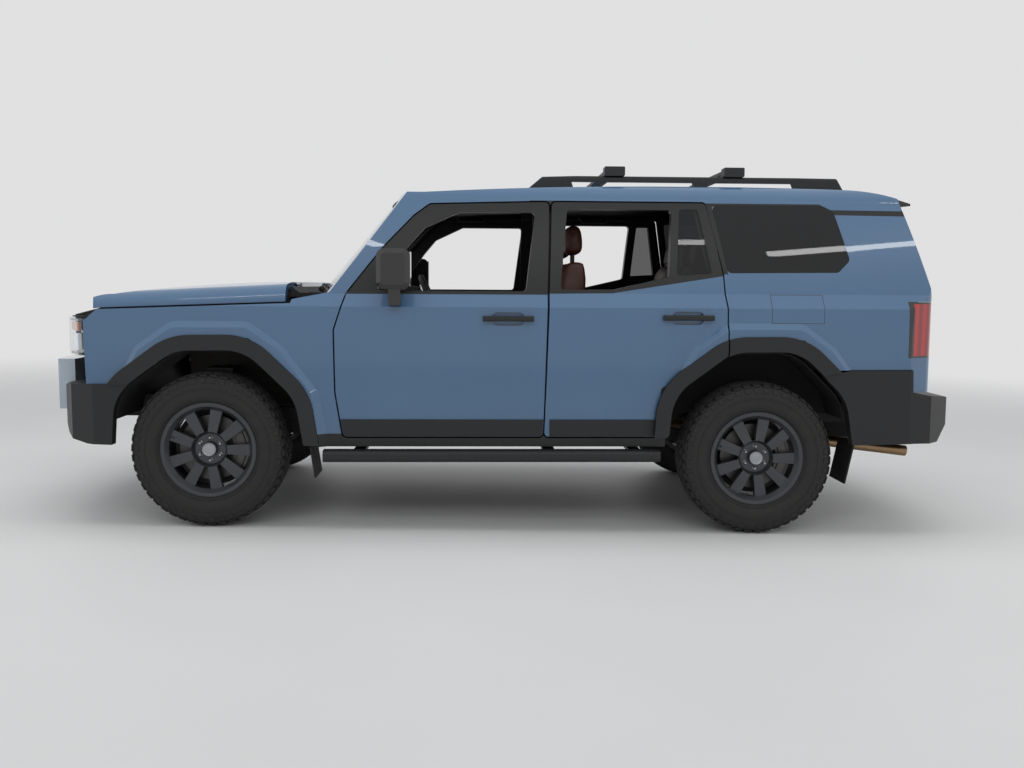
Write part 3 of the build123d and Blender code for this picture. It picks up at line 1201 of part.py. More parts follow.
with BuildPart() as rim:
    with BuildSketch(Plane.YZ):
        with BuildLine():
            Polyline(
                (-RIM_HALF, RIM_RADIUS - RIM_WALL), (-RIM_HALF, RIM_FLANGE),
                (FLANGE_WALL - RIM_HALF, RIM_FLANGE),
                (FLANGE_WALL - RIM_HALF, RIM_RADIUS), (RIM_HALF - FLANGE_WALL, RIM_RADIUS),
                (RIM_HALF - FLANGE_WALL, RIM_FLANGE), (RIM_HALF, RIM_FLANGE), (RIM_HALF, RIM_RADIUS - 4),
                (FACE_OUT - 6, WINDOW_OUT + 2), (FACE_OUT, WINDOW_IN), (FACE_OUT - 26, HUB_RADIUS),
                (FACE_OUT - 26, 40), (FACE_OUT + 4, 36), (FACE_OUT + 4, 0), (FACE_OUT - 14, 0),
                (FACE_OUT - 14, BORE_RADIUS), (FACE_IN - 44, BORE_RADIUS), (FACE_IN - 44, HUB_RADIUS),
                (FACE_IN, HUB_RADIUS + 6), (FACE_OUT - 38, WINDOW_OUT),
                (FACE_OUT - 44, RIM_RADIUS - RIM_WALL),
                close=True,
            )
        make_face()
    revolve(axis=Axis.Y)
    with BuildSketch(Plane.XZ.offset(-RIM_HALF)):
        with PolarLocations(0, SPOKES):
            add(rim_window.sketch)
    extrude(amount=RIM_HALF, mode=Mode.SUBTRACT)
    with BuildSketch(Plane.XZ.offset(-DISC_IN)):
        Circle(DISC_RADIUS)
        Circle(BORE_RADIUS, mode=Mode.SUBTRACT)
    extrude(amount=DISC_IN - DISC_OUT)
    with BuildSketch(Plane.XZ.offset(-DISC_OUT)):
        Circle(HUB_RADIUS - 8)
        Circle(BORE_RADIUS, mode=Mode.SUBTRACT)
    extrude(amount=DISC_OUT - FACE_IN + 40)

WHEELS = [
    # name, axle x, side (+1 left, -1 right)
    ("front_left", FX, 1),
    ("front_right", FX, -1),
    ("rear_left", RX, 1),
    ("rear_right", RX, -1),
]
for name, axle_x, side in WHEELS:
    for kind, solid in (("tyre", tyre.part), ("rim", rim.part)):
        placed = solid if side > 0 else solid.mirror(Plane.XZ)
        with BuildPart() as wheel_piece:
            with Locations((axle_x, side * WHEEL_Y, HUB_Z)):
                add(placed)
        save(wheel_piece.part, f"{kind}_{name}", tipped=False)

# Knuckles turn on vertical ball-joint pins between the suspension arms
KINGPIN_Y = WHEEL_Y - 64
UPRIGHT_HALF = 132
BALL_RADIUS = 12
UPPER_ARM_Z = 2 * HUB_Z - ARM_Z
ARM_HALF = 14
for name, axle_x, side in WHEELS[:2]:
    with BuildPart() as knuckle:
        add(block(
            axle_x - 30, axle_x + 30, side * (KINGPIN_Y - 28), side * (KINGPIN_Y + 20),
            HUB_Z - UPRIGHT_HALF, HUB_Z + UPRIGHT_HALF,
        ))
        with Locations((axle_x, side * KINGPIN_Y, HUB_Z)):
            Cylinder(BALL_RADIUS, UPPER_ARM_Z - ARM_Z + 2 * ARM_HALF + 10)
        spindle = Plane(origin=(axle_x, side * (KINGPIN_Y + 20), HUB_Z), x_dir=(1, 0, 0), z_dir=(0, side, 0))
        with BuildSketch(spindle):
            Circle(SPINDLE_RADIUS)
        extrude(amount=WHEEL_Y + FACE_OUT - 14 - SEAT_GAP - KINGPIN_Y - 20)
        add(block(
            axle_x - 185, axle_x - 20, side * (KINGPIN_Y - 10), side * (WHEEL_Y + DISC_IN - 6),
            HUB_Z - 62, HUB_Z + 62,
        ))
    save(knuckle.part, f"knuckle_{name.split('_')[1]}", tipped=False)

# Front suspension arms and dampers, butted against the frame's side faces
ARM_INNER_Y = RAIL_OUT + SEAT_GAP
ARMS = [
    # height, half length at the frame
    (ARM_Z, 130),
    (UPPER_ARM_Z, 90),
]
with BuildPart() as front_suspension:
    for height, half in ARMS:
        add(plan_prism(
            [(FX - half, ARM_INNER_Y), (FX - half + 40, ARM_INNER_Y), (FX, KINGPIN_Y - 100),
             (FX + half - 40, ARM_INNER_Y), (FX + half, ARM_INNER_Y), (FX + 24, KINGPIN_Y),
             (FX, KINGPIN_Y + 22), (FX - 24, KINGPIN_Y)],
            height - ARM_HALF, height + ARM_HALF,
        ))
    with Locations((FX, KINGPIN_Y, HUB_Z)):
        Cylinder(BALL_RADIUS + PIN_GAP, HUB_Z * 2, mode=Mode.SUBTRACT)
    with Locations((FX, 590, (ARM_Z + TOWER_Z - 31) / 2)):
        Cylinder(40, TOWER_Z - 31 - ARM_Z)
    add(block(FX - 20, FX + 20, 570, 700, ARM_Z - ARM_HALF, ARM_Z + ARM_HALF))
    with Locations((FX, KINGPIN_Y, HUB_Z)):
        Cylinder(BALL_RADIUS + PIN_GAP, HUB_Z * 2, mode=Mode.SUBTRACT)
    mirror(about=Plane.XZ)
save(front_suspension.part, "front_suspension", tipped=False)

# Rear axle: housing with its final drive, trailing arms and coil springs
AXLE_RADIUS = 45
FINAL_DRIVE = 140
SPRING_RADIUS = 56
TRAIL_X, TRAIL_Y = RX + 600, RAIL_IN - 45
spring_top_z = (SPRING_SEAT_Z * cos(radians(RAKE)) + (WHEELBASE - SPRING_RADIUS) * sin(radians(RAKE))) - 2
trail_z = (RAIL_LOW_Z + RAIL_TOP_Z) / 2 + (FX - TRAIL_X) * sin(radians(RAKE))
with BuildPart() as rear_axle:
    with Locations((RX, 0, HUB_Z)):
        Cylinder(AXLE_RADIUS, 2 * (WHEEL_Y + DISC_IN - 10), rotation=(90, 0, 0))
        Cylinder(SPINDLE_RADIUS, 2 * (WHEEL_Y + FACE_OUT - 14 - SEAT_GAP), rotation=(90, 0, 0))
        Sphere(FINAL_DRIVE)
    for side in (1, -1):
        add(side_prism(
            [(RX - 20, HUB_Z - 60), (RX + 30, HUB_Z - 70), (TRAIL_X + 20, trail_z - 30),
             (TRAIL_X + 20, trail_z + 30), (RX - 20, HUB_Z + 20)],
            side * TRAIL_Y - 22, side * TRAIL_Y + 22,
        ))
        with Locations((TRAIL_X, side * (RAIL_IN - SEAT_GAP - 40), trail_z)):
            Cylinder(30, 80, rotation=(90, 0, 0))
        with Locations((RX, side * SPRING_Y, (HUB_Z + spring_top_z) / 2)):
            Cylinder(SPRING_RADIUS, spring_top_z - HUB_Z)
save(rear_axle.part, "rear_axle", tipped=False)

# Spare wheel on its hanger under the load floor
SPARE_X, SPARE_Z = RX - 620, 500
with BuildPart() as spare_wheel:
    with Locations(Location((SPARE_X, 0, SPARE_Z), (90, 0, 0))):
        add(tyre.part)
        add(rim.part)
    with Locations((SPARE_X, 0, (SPARE_Z + LOAD_FLOOR_Z) / 2)):
        Cylinder(26, LOAD_FLOOR_Z - SPARE_Z - 2 * SEAT_GAP)
save(spare_wheel.part, "spare_wheel")
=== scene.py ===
"""Dressed visual model of a five-door sport utility vehicle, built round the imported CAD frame.

Sizes are millimetres in the level body frame (+X front, +Y left, +Z up) unless a name ends in _m. The body is tipped
nose-down about the front axle's ground point, as the CAD is, so pieces of the body go through tip().
"""

from __future__ import annotations

import json
import logging
import math
from dataclasses import dataclass, field
from enum import Enum
from typing import Callable, Sequence

import bmesh
import bpy
from mathutils import Matrix, Vector

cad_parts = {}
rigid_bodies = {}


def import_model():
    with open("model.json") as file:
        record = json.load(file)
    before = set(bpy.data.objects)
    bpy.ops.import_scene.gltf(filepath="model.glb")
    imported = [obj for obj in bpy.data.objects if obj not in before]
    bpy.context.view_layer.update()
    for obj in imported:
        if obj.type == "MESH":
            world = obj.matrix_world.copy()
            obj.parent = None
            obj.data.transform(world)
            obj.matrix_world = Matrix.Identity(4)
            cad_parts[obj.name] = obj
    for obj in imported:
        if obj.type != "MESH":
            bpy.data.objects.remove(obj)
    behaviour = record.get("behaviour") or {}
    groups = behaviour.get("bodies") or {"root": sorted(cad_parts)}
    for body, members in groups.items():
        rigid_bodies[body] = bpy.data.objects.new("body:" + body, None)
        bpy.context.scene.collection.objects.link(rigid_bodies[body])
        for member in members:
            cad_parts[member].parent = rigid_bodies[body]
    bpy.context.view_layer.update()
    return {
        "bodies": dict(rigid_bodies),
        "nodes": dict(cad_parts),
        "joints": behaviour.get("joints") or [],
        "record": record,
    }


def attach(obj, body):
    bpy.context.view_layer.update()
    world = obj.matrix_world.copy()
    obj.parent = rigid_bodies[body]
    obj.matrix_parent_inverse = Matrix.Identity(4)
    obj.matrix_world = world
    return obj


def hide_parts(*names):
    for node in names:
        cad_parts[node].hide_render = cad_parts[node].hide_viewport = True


LOG = logging.getLogger("vehicle")

# Stations of the CAD model: both axles, the doors' shut line, the cowl, the bumper's face and the nose
RAKE = math.radians(0.9)
LENGTH = 4925
FRONT_OVERHANG = 920
BUMPER_Z = 680
WHEELBASE = 2850.0
FX = LENGTH / 2 - FRONT_OVERHANG - BUMPER_Z * math.sin(RAKE)
RX = FX - WHEELBASE
SPLIT_X = FX - 1741
COWL_X = FX - 402
FRONT_X = FX + FRONT_OVERHANG
NOSE_X = FX + 800
WHEEL_Y = 834.0
HUB_Z = 400.0

IMAGE_WIDTH = 1024
WELD_MM = 0.001
SIDES = (("left", 1), ("right", -1))
AXLES = (("front", FX), ("rear", RX))

Point2 = tuple[float, float]
Point3 = tuple[float, float, float]
Colour = tuple[float, float, float, float]
Half = tuple[Point3, float]
Tree = bpy.types.NodeTree
Node = bpy.types.Node
Socket = bpy.types.NodeSocket
Input = Socket | float | Colour


class View(Enum):
    """The plane of an outline: the axes that its two numbers and its depth run along."""

    SIDE = (0, 2, 1)
    FRONT = (1, 2, 0)
    PLAN = (0, 1, 2)


class Facing(Enum):
    """Which faces of a painted panel look into the cabin and get its dark lining."""

    NONE = "painted all round"
    CENTRE = "faces that look to the vehicle's centre line"
    DOWN = "faces that look down"
    FORWARD = "faces that look to the front"


def tip(x: float, y: float, z: float) -> Vector:
    """Take a point of the level body frame to its place on the standing vehicle.

    Args:
        x, y, z: millimetres in the level body frame.

    Returns:
        The point in metres, tipped with the body.
    """
    along = x - FX
    return Vector((
        (FX + along * math.cos(RAKE) + z * math.sin(RAKE)) / 1000,
        y / 1000,
        (-along * math.sin(RAKE) + z * math.cos(RAKE)) / 1000,
    ))


def level(x: float, y: float, z: float) -> Vector:
    """Millimetres to metres for what stays level, such as wheels."""
    return Vector((x, y, z)) / 1000


def rectangle(low: Point2, high: Point2) -> list[Point2]:
    """The four corners between two opposite ones."""
    return [(low[0], low[1]), (high[0], low[1]), (high[0], high[1]), (low[0], high[1])]


def spaced(start: float, stop: float, steps: int) -> list[float]:
    """Numbers at even steps from start to stop, both ends included."""
    return [start + (stop - start) * step / steps for step in range(steps + 1)]


def moved(outline: Sequence[Point2], x: float) -> list[Point2]:
    """A side outline moved along the vehicle."""
    return [(x + along, height) for along, height in outline]


def srgb(code: str) -> Colour:
    """Turn an sRGB hex colour into the linear colour that the shaders take.

    Args:
        code: six hex digits after a hash.

    Returns:
        Linear red, green, blue and an alpha of one.
    """
    def channel(pair: str) -> float:
        """One channel to linear light."""
        value = int(pair, 16) / 255
        return value / 12.92 if value <= 0.04045 else ((value + 0.055) / 1.055) ** 2.4

    digits = code.lstrip("#")
    return (channel(digits[0:2]), channel(digits[2:4]), channel(digits[4:6]), 1.0)


def scaled(code: str, factor: float) -> Colour:
    """A hex colour made darker or lighter in linear light."""
    return tuple(min(1.0, factor * part) for part in srgb(code)[:3]) + (1.0,)


def feed(tree: Tree, target: Node, inputs: dict[str | int, Input]) -> None:
    """Set the sockets of a node, or link them.

    Args:
        tree: the node's tree.
        target: the node.
        inputs: socket name or index to a value, or to another node's output socket, which is linked.
    """
    for key, value in inputs.items():
        if isinstance(value, Socket):
            tree.links.new(value, target.inputs[key])
        else:
            target.inputs[key].default_value = value


def node(tree: Tree, kind: str, inputs: dict[str | int, Input] | None = None, **settings: object) -> Node:
    """Add one node with its settings and links.

    Args:
        tree: the material's or world's node tree.
        kind: the node's Blender type.
        inputs: what feed() puts on its sockets.
        settings: attributes of the node itself.

    Returns:
        The new node.
    """
    made = tree.nodes.new(kind)
    for name, value in settings.items():
        setattr(made, name, value)
    feed(tree, made, inputs or {})
    return made


@dataclass
class Surface:
    """A material under construction: its tree, its principled shader and its object coordinates."""

    material: bpy.types.Material
    tree: Tree
    shader: Node
    place: Node

    @classmethod
    def start(cls, name: str) -> Surface:
        """Start the material of a finish's name."""
        material = bpy.data.materials.new(name)
        material.use_nodes = True
        tree = material.node_tree
        return cls(material, tree, tree.nodes["Principled BSDF"], node(tree, "ShaderNodeTexCoord"))

    def give(self, inputs: dict[str | int, Input]) -> None:
        """Set or link sockets of the principled shader."""
        feed(self.tree, self.shader, inputs)

    def calc(self, operation: str, first: Input, second: Input) -> Socket:
        """The result of one operation on two numbers, each a value or a socket."""
        return node(self.tree, "ShaderNodeMath", {0: first, 1: second}, operation=operation).outputs[0]

    def grain(self, size_mm: float, detail: float = 2.0) -> Socket:
        """A noise from 0 to 1.

        Args:
            size_mm: about how wide its blobs are.
            detail: how many finer noises lie on it.

        Returns:
            The noise's value.
        """
        return node(self.tree, "ShaderNodeTexNoise", {
            "Vector": self.place.outputs["Object"], "Scale": 1000 / size_mm, "Detail": detail, "Roughness": 0.55,
        }).outputs[0]

    def mix(self, share: Socket, first: Input, second: Input) -> Socket:
        """Mix two colours, each a value or a socket, by a share."""
        return node(self.tree, "ShaderNodeMix", {0: share, 6: first, 7: second}, data_type="RGBA").outputs[2]

    def mix_value(self, share: Socket, first: Input, second: Input) -> Socket:
        """Mix two numbers, each a value or a socket, by a share."""
        return node(self.tree, "ShaderNodeMix", {0: share, 2: first, 3: second}, data_type="FLOAT").outputs[0]

    def patches(self, size_mm: float, code: str, factor: float) -> Socket:
        """Soft patches between a darker tone and the colour itself.

        Args:
            size_mm: about how wide the patches are.
            code: the colour.
            factor: the darker tone's share of its light.

        Returns:
            The colour socket.
        """
        return self.mix(self.grain(size_mm), scaled(code, factor), srgb(code))

    def bump(self, height: Socket, strength: float, depth_mm: float) -> None:
        """Give the shader a bump.

        Args:
            height: the socket with the height from 0 to 1.
            strength: how much of it shows.
            depth_mm: the real depth between low and high.
        """
        made = node(self.tree, "ShaderNodeBump", {"Strength": strength, "Distance": depth_mm / 1000, "Height": height})
        self.give({"Normal": made.outputs[0]})


def side_edge(start: Point2, end: Point2) -> Half:
    """The half space on the left of a line in the side view, seen with x to the right and z up.

    Args:
        start, end: two (x, z) points in the level body frame.

    Returns:
        A normal and a limit: a point p is inside where normal . p is above the limit.
    """
    first, second = tip(start[0], 0, start[1]), tip(end[0], 0, end[1])
    run = second - first
    normal = Vector((-run.z, 0, run.x)).normalized()
    return (tuple(normal), normal.dot(first))


@dataclass(frozen=True)
class Region:
    """A convex stretch of a panel that has another finish, as half spaces in the rest pose."""

    halves: tuple[Half, ...]

    def mask(self, face: Surface) -> Socket:
        """Make the nodes that tell inside from outside.

        Args:
            face: the material they belong to.

        Returns:
            A socket that is 1 inside and 0 outside.
        """
        found = None
        for normal, limit in self.halves:
            dot = node(face.tree, "ShaderNodeVectorMath", {
                0: face.place.outputs["Object"], 1: normal,
            }, operation="DOT_PRODUCT")
            over = face.calc("GREATER_THAN", dot.outputs["Value"], limit)
            found = over if found is None else face.calc("MULTIPLY", found, over)
        return found


def region(*lines: tuple[Point2, Point2]) -> Region:
    """The region on the left of every one of some side-view lines."""
    return Region(tuple(side_edge(start, end) for start, end in lines))


@dataclass(frozen=True)
class BodyPaint:
    """Two-stage car enamel: sprayed colour under a clear coat, which gives sharp reflections over a soft base.

    Trim regions are satin black moulded strips, lines are narrow shut gaps between an outer and an inner region, and
    lining is the dark cabin side of the panel.
    """

    name: str
    colour: str = "#416587"
    shade: str = "#3c5f81"
    trim: str = "#111213"
    lining: str = "#191817"
    regions: tuple[Region, ...] = ()
    lines: tuple[tuple[Region, Region], ...] = ()
    facing: Facing = Facing.NONE
    tone_mm: float = 420.0
    peel_mm: float = 9.0
    rough: float = 0.34
    trim_rough: float = 0.42
    lining_rough: float = 0.7
    coat_rough: float = 0.03

    def build(self) -> bpy.types.Material:
        """Make the material."""
        face = Surface.start(self.name)
        colour = face.mix(face.grain(self.tone_mm), srgb(self.colour), srgb(self.shade))
        for outer, inner in self.lines:
            rim = face.calc("SUBTRACT", outer.mask(face), inner.mask(face))
            colour = face.mix(rim, colour, srgb(self.trim))
        rough, coat = self.rough, 1.0
        for mask, tone, dull in (
            (self.trim_mask(face), self.trim, self.trim_rough),
            (self.inner_faces(face), self.lining, self.lining_rough),
        ):
            if mask is not None:
                colour = face.mix(mask, colour, srgb(tone))
                rough = face.mix_value(mask, rough, dull)
                coat = face.mix_value(mask, coat, 0.0)
        face.give({
            "Base Color": colour, "Roughness": rough, "Coat Weight": coat, "Coat Roughness": self.coat_rough,
            "Specular IOR Level": 0.5,
        })
        face.bump(face.grain(self.peel_mm), 0.02, 0.05)
        return face.material

    def trim_mask(self, face: Surface) -> Socket | None:
        """The mask of all trim regions together, if there are any."""
        found = None
        for part in self.regions:
            inside = part.mask(face)
            found = inside if found is None else face.calc("MAXIMUM", found, inside)
        return found

    def inner_faces(self, face: Surface) -> Socket | None:
        """The mask of the panel's cabin side, from the object's own normal."""
        if self.facing is Facing.NONE:
            return None
        normal = face.place.outputs["Normal"]
        if self.facing is Facing.CENTRE:
            normal = node(face.tree, "ShaderNodeVectorMath", {
                0: face.place.outputs["Object"], 1: normal,
            }, operation="MULTIPLY").outputs[0]
        parts = node(face.tree, "ShaderNodeSeparateXYZ", {0: normal})
        if self.facing is Facing.CENTRE:
            return face.calc("LESS_THAN", parts.outputs[1], -0.2)
        if self.facing is Facing.DOWN:
            return face.calc("LESS_THAN", parts.outputs[2], -0.3)
        return face.calc("GREATER_THAN", parts.outputs[0], 0.3)


@dataclass(frozen=True)
class Moulded:
    """Injection-moulded polypropylene or ABS: one colour through, with a fine hide-like grain that scatters light."""

    name: str
    colour: str
    rough: float = 0.5
    grain_mm: float = 3.0
    bump: float = 0.25
    coat: float = 0.0
    rough_spread: float = 0.06

    def build(self) -> bpy.types.Material:
        """Make the material."""
        face = Surface.start(self.name)
        fine = face.grain(self.grain_mm, 3.0)
        face.give({
            "Base Color": face.patches(160.0, self.colour, 0.8),
            "Roughness": face.mix_value(fine, self.rough - self.rough_spread, self.rough + self.rough_spread),
            "Coat Weight": self.coat, "Coat Roughness": 0.05,
        })
        face.bump(fine, self.bump, 0.25)
        return face.material


@dataclass(frozen=True)
class Metal:
    """Cast, turned or pressed metal, bare or painted with a metallic lacquer, with fine marks that streak its shine."""

    name: str
    colour: str
    rough: float = 0.3
    mark_mm: float = 2.5
    metallic: float = 1.0
    coat: float = 0.0
    rough_spread: float = 0.07

    def build(self) -> bpy.types.Material:
        """Make the material."""
        face = Surface.start(self.name)
        marks = face.grain(self.mark_mm, 4.0)
        face.give({
            "Base Color": face.patches(70.0, self.colour, 0.75),
            "Roughness": face.mix_value(marks, self.rough - self.rough_spread, self.rough + self.rough_spread),
            "Metallic": self.metallic, "Coat Weight": self.coat,
        })
        face.bump(marks, 0.08, 0.15)
        return face.material


@dataclass(frozen=True)
class Glass:
    """Float glass or clear polycarbonate, tinted through: a dark or clear body under a hard mirror-smooth face."""

    name: str
    colour: str
    cover: float
    rough: float = 0.02

    def build(self) -> bpy.types.Material:
        """Make the material."""
        face = Surface.start(self.name)
        face.give({
            "Base Color": face.mix(face.grain(300.0), srgb(self.colour), scaled(self.colour, 1.25)),
            "Roughness": self.rough, "IOR": 1.52, "Alpha": self.cover,
        })
        return face.material


@dataclass(frozen=True)
class Hide:
    """Dyed cow hide, embossed: pebbled grain with a soft sheen on its high spots."""

    name: str
    colour: str
    pebble_mm: float = 5.0

    def build(self) -> bpy.types.Material:
        """Make the material."""
        face = Surface.start(self.name)
        cells = node(face.tree, "ShaderNodeTexVoronoi", {
            "Vector": face.place.outputs["Object"], "Scale": 1000 / self.pebble_mm,
        }, feature="DISTANCE_TO_EDGE")
        face.give({"Base Color": face.patches(90.0, self.colour, 0.62), "Roughness": 0.48})
        face.bump(cells.outputs[0], 0.35, 0.6)
        return face.material


@dataclass(frozen=True)
class Rubber:
    """Carbon-black tyre rubber, moulded: near black, dry, with dust that greys the faces."""

    name: str
    colour: str = "#1d1d1e"
    dust: str = "#343331"

    def build(self) -> bpy.types.Material:
        """Make the material."""
        face = Surface.start(self.name)
        dusty = face.grain(45.0, 5.0)
        face.give({
            "Base Color": face.mix(dusty, srgb(self.colour), srgb(self.dust)),
            "Roughness": face.mix_value(dusty, 0.62, 0.85), "Specular IOR Level": 0.35,
        })
        face.bump(face.grain(2.2, 3.0), 0.2, 0.3)
        return face.material


@dataclass(frozen=True)
class Woven:
    """Woven or needled carpet: crossed threads that kill the shine."""

    name: str
    colour: str
    thread_mm: float = 4.0

    def build(self) -> bpy.types.Material:
        """Make the material."""
        face = Surface.start(self.name)
        threads = node(face.tree, "ShaderNodeTexBrick", {
            "Vector": face.place.outputs["Object"], "Scale": 1000 / self.thread_mm / 4, "Mortar Size": 0.06,
            "Color1": (0.9, 0.9, 0.9, 1), "Color2": (0.6, 0.6, 0.6, 1), "Mortar": (0.1, 0.1, 0.1, 1),
        }).outputs[0]
        face.give({
            "Base Color": face.mix(threads, scaled(self.colour, 0.6), srgb(self.colour)),
            "Roughness": 0.95, "Specular IOR Level": 0.1,
        })
        face.bump(threads, 0.4, 0.8)
        return face.material


@dataclass(frozen=True)
class LampLens:
    """Moulded acrylic lens, dyed through, with ribs on its inside that break the light into bars.

    Frame regions are the lens's black painted edges.
    """

    name: str
    colour: str
    deep: str
    rib_mm: float = 14.0
    glow: float = 0.0
    frame: tuple[Region, ...] = ()
    frame_colour: str = "#0a0a0b"

    def build(self) -> bpy.types.Material:
        """Make the material."""
        face = Surface.start(self.name)
        ribs = node(face.tree, "ShaderNodeTexWave", {
            "Vector": face.place.outputs["Object"], "Scale": 1000 / self.rib_mm / 6.28, "Distortion": 0.0,
        }, wave_type="BANDS", bands_direction="X")
        colour = face.mix(ribs.outputs[1], srgb(self.deep), srgb(self.colour))
        for edge in self.frame:
            colour = face.mix(edge.mask(face), colour, srgb(self.frame_colour))
        face.give({
            "Base Color": colour, "Roughness": 0.08, "Coat Weight": 1.0,
            "Emission Color": srgb(self.colour), "Emission Strength": self.glow,
        })
        return face.material


FINISHES: dict[str, object] = {
    finish.name: finish
    for finish in (
        BodyPaint("enamel_blue"),
        Moulded("satin_black_polypropylene", "#17181a", 0.5, 3.0, 0.3),
        Moulded("gloss_black_abs", "#0b0b0c", 0.12, 6.0, 0.02, 0.6),
        Moulded("black_liner_felt", "#0f0f10", 0.85, 4.0, 0.5),
        Moulded("soft_touch_dark", "#1c1b1a", 0.62, 2.5, 0.4),
        Moulded("black_seal_rubber", "#0d0d0d", 0.7, 2.0, 0.2),
        Moulded("silver_blue_lacquer", "#b4c1cd", 0.3, 8.0, 0.02, 0.8),
        Metal("gunmetal_lacquer", "#4d4e52", 0.42, 2.0, 0.7, 0.2),
        # brake disc and caliper steel, its colour darkened well below bare steel as painted shade of the wheel's inside
        Metal("steel_darkened_as_painted_shade", "#5d5c5a", 0.4, 1.5),
        Metal("zinc_plated_nut", "#a4a5a8", 0.3, 2.0),
        Metal("bare_cap_aluminium", "#a9abb0", 0.3, 2.0),
        Metal("cast_grey_iron", "#4d4b48", 0.6, 4.0),
        Metal("black_chassis_paint", "#121212", 0.5, 6.0, 0.0),
        Metal("heat_tanned_steel", "#a08467", 0.32, 3.0),
        Metal("mirror_silver", "#8d9296", 0.04, 30.0),
        Glass("tinted_glass", "#0b0d0f", 0.86),
        Glass("privacy_glass_light", "#101214", 0.62),
        Glass("clear_glass", "#1d2523", 0.12),
        Glass("clear_lamp_cover", "#c9d2d8", 0.16),
        Glass("display_glass", "#050607", 1.0, 0.05),
        Hide("brown_hide", "#4a281c"),
        Rubber("tyre_rubber"),
        Woven("dark_carpet", "#201f1e", 6.0),
        LampLens("red_lens", "#b30f16", "#7d080d"),
        LampLens("amber_lens", "#e07a1a", "#8f3d05", 9.0),
        LampLens("white_lens", "#e9eef2", "#aeb8c0", 11.0, 0.15),
    )
}


@dataclass
class Palette:
    """Makes each finish once and hands it out by name."""

    made: dict[str, bpy.types.Material] = field(default_factory=dict)

    def get(self, finish: str | object) -> bpy.types.Material:
        """The material of a named finish, or of a finish of its own.

        Args:
            finish: a name of FINISHES, or a finish object.

        Returns:
            The Blender material.
        """
        chosen = FINISHES[finish] if isinstance(finish, str) else finish
        if chosen.name not in self.made:
            self.made[chosen.name] = chosen.build()
        return self.made[chosen.name]


PALETTE = Palette()


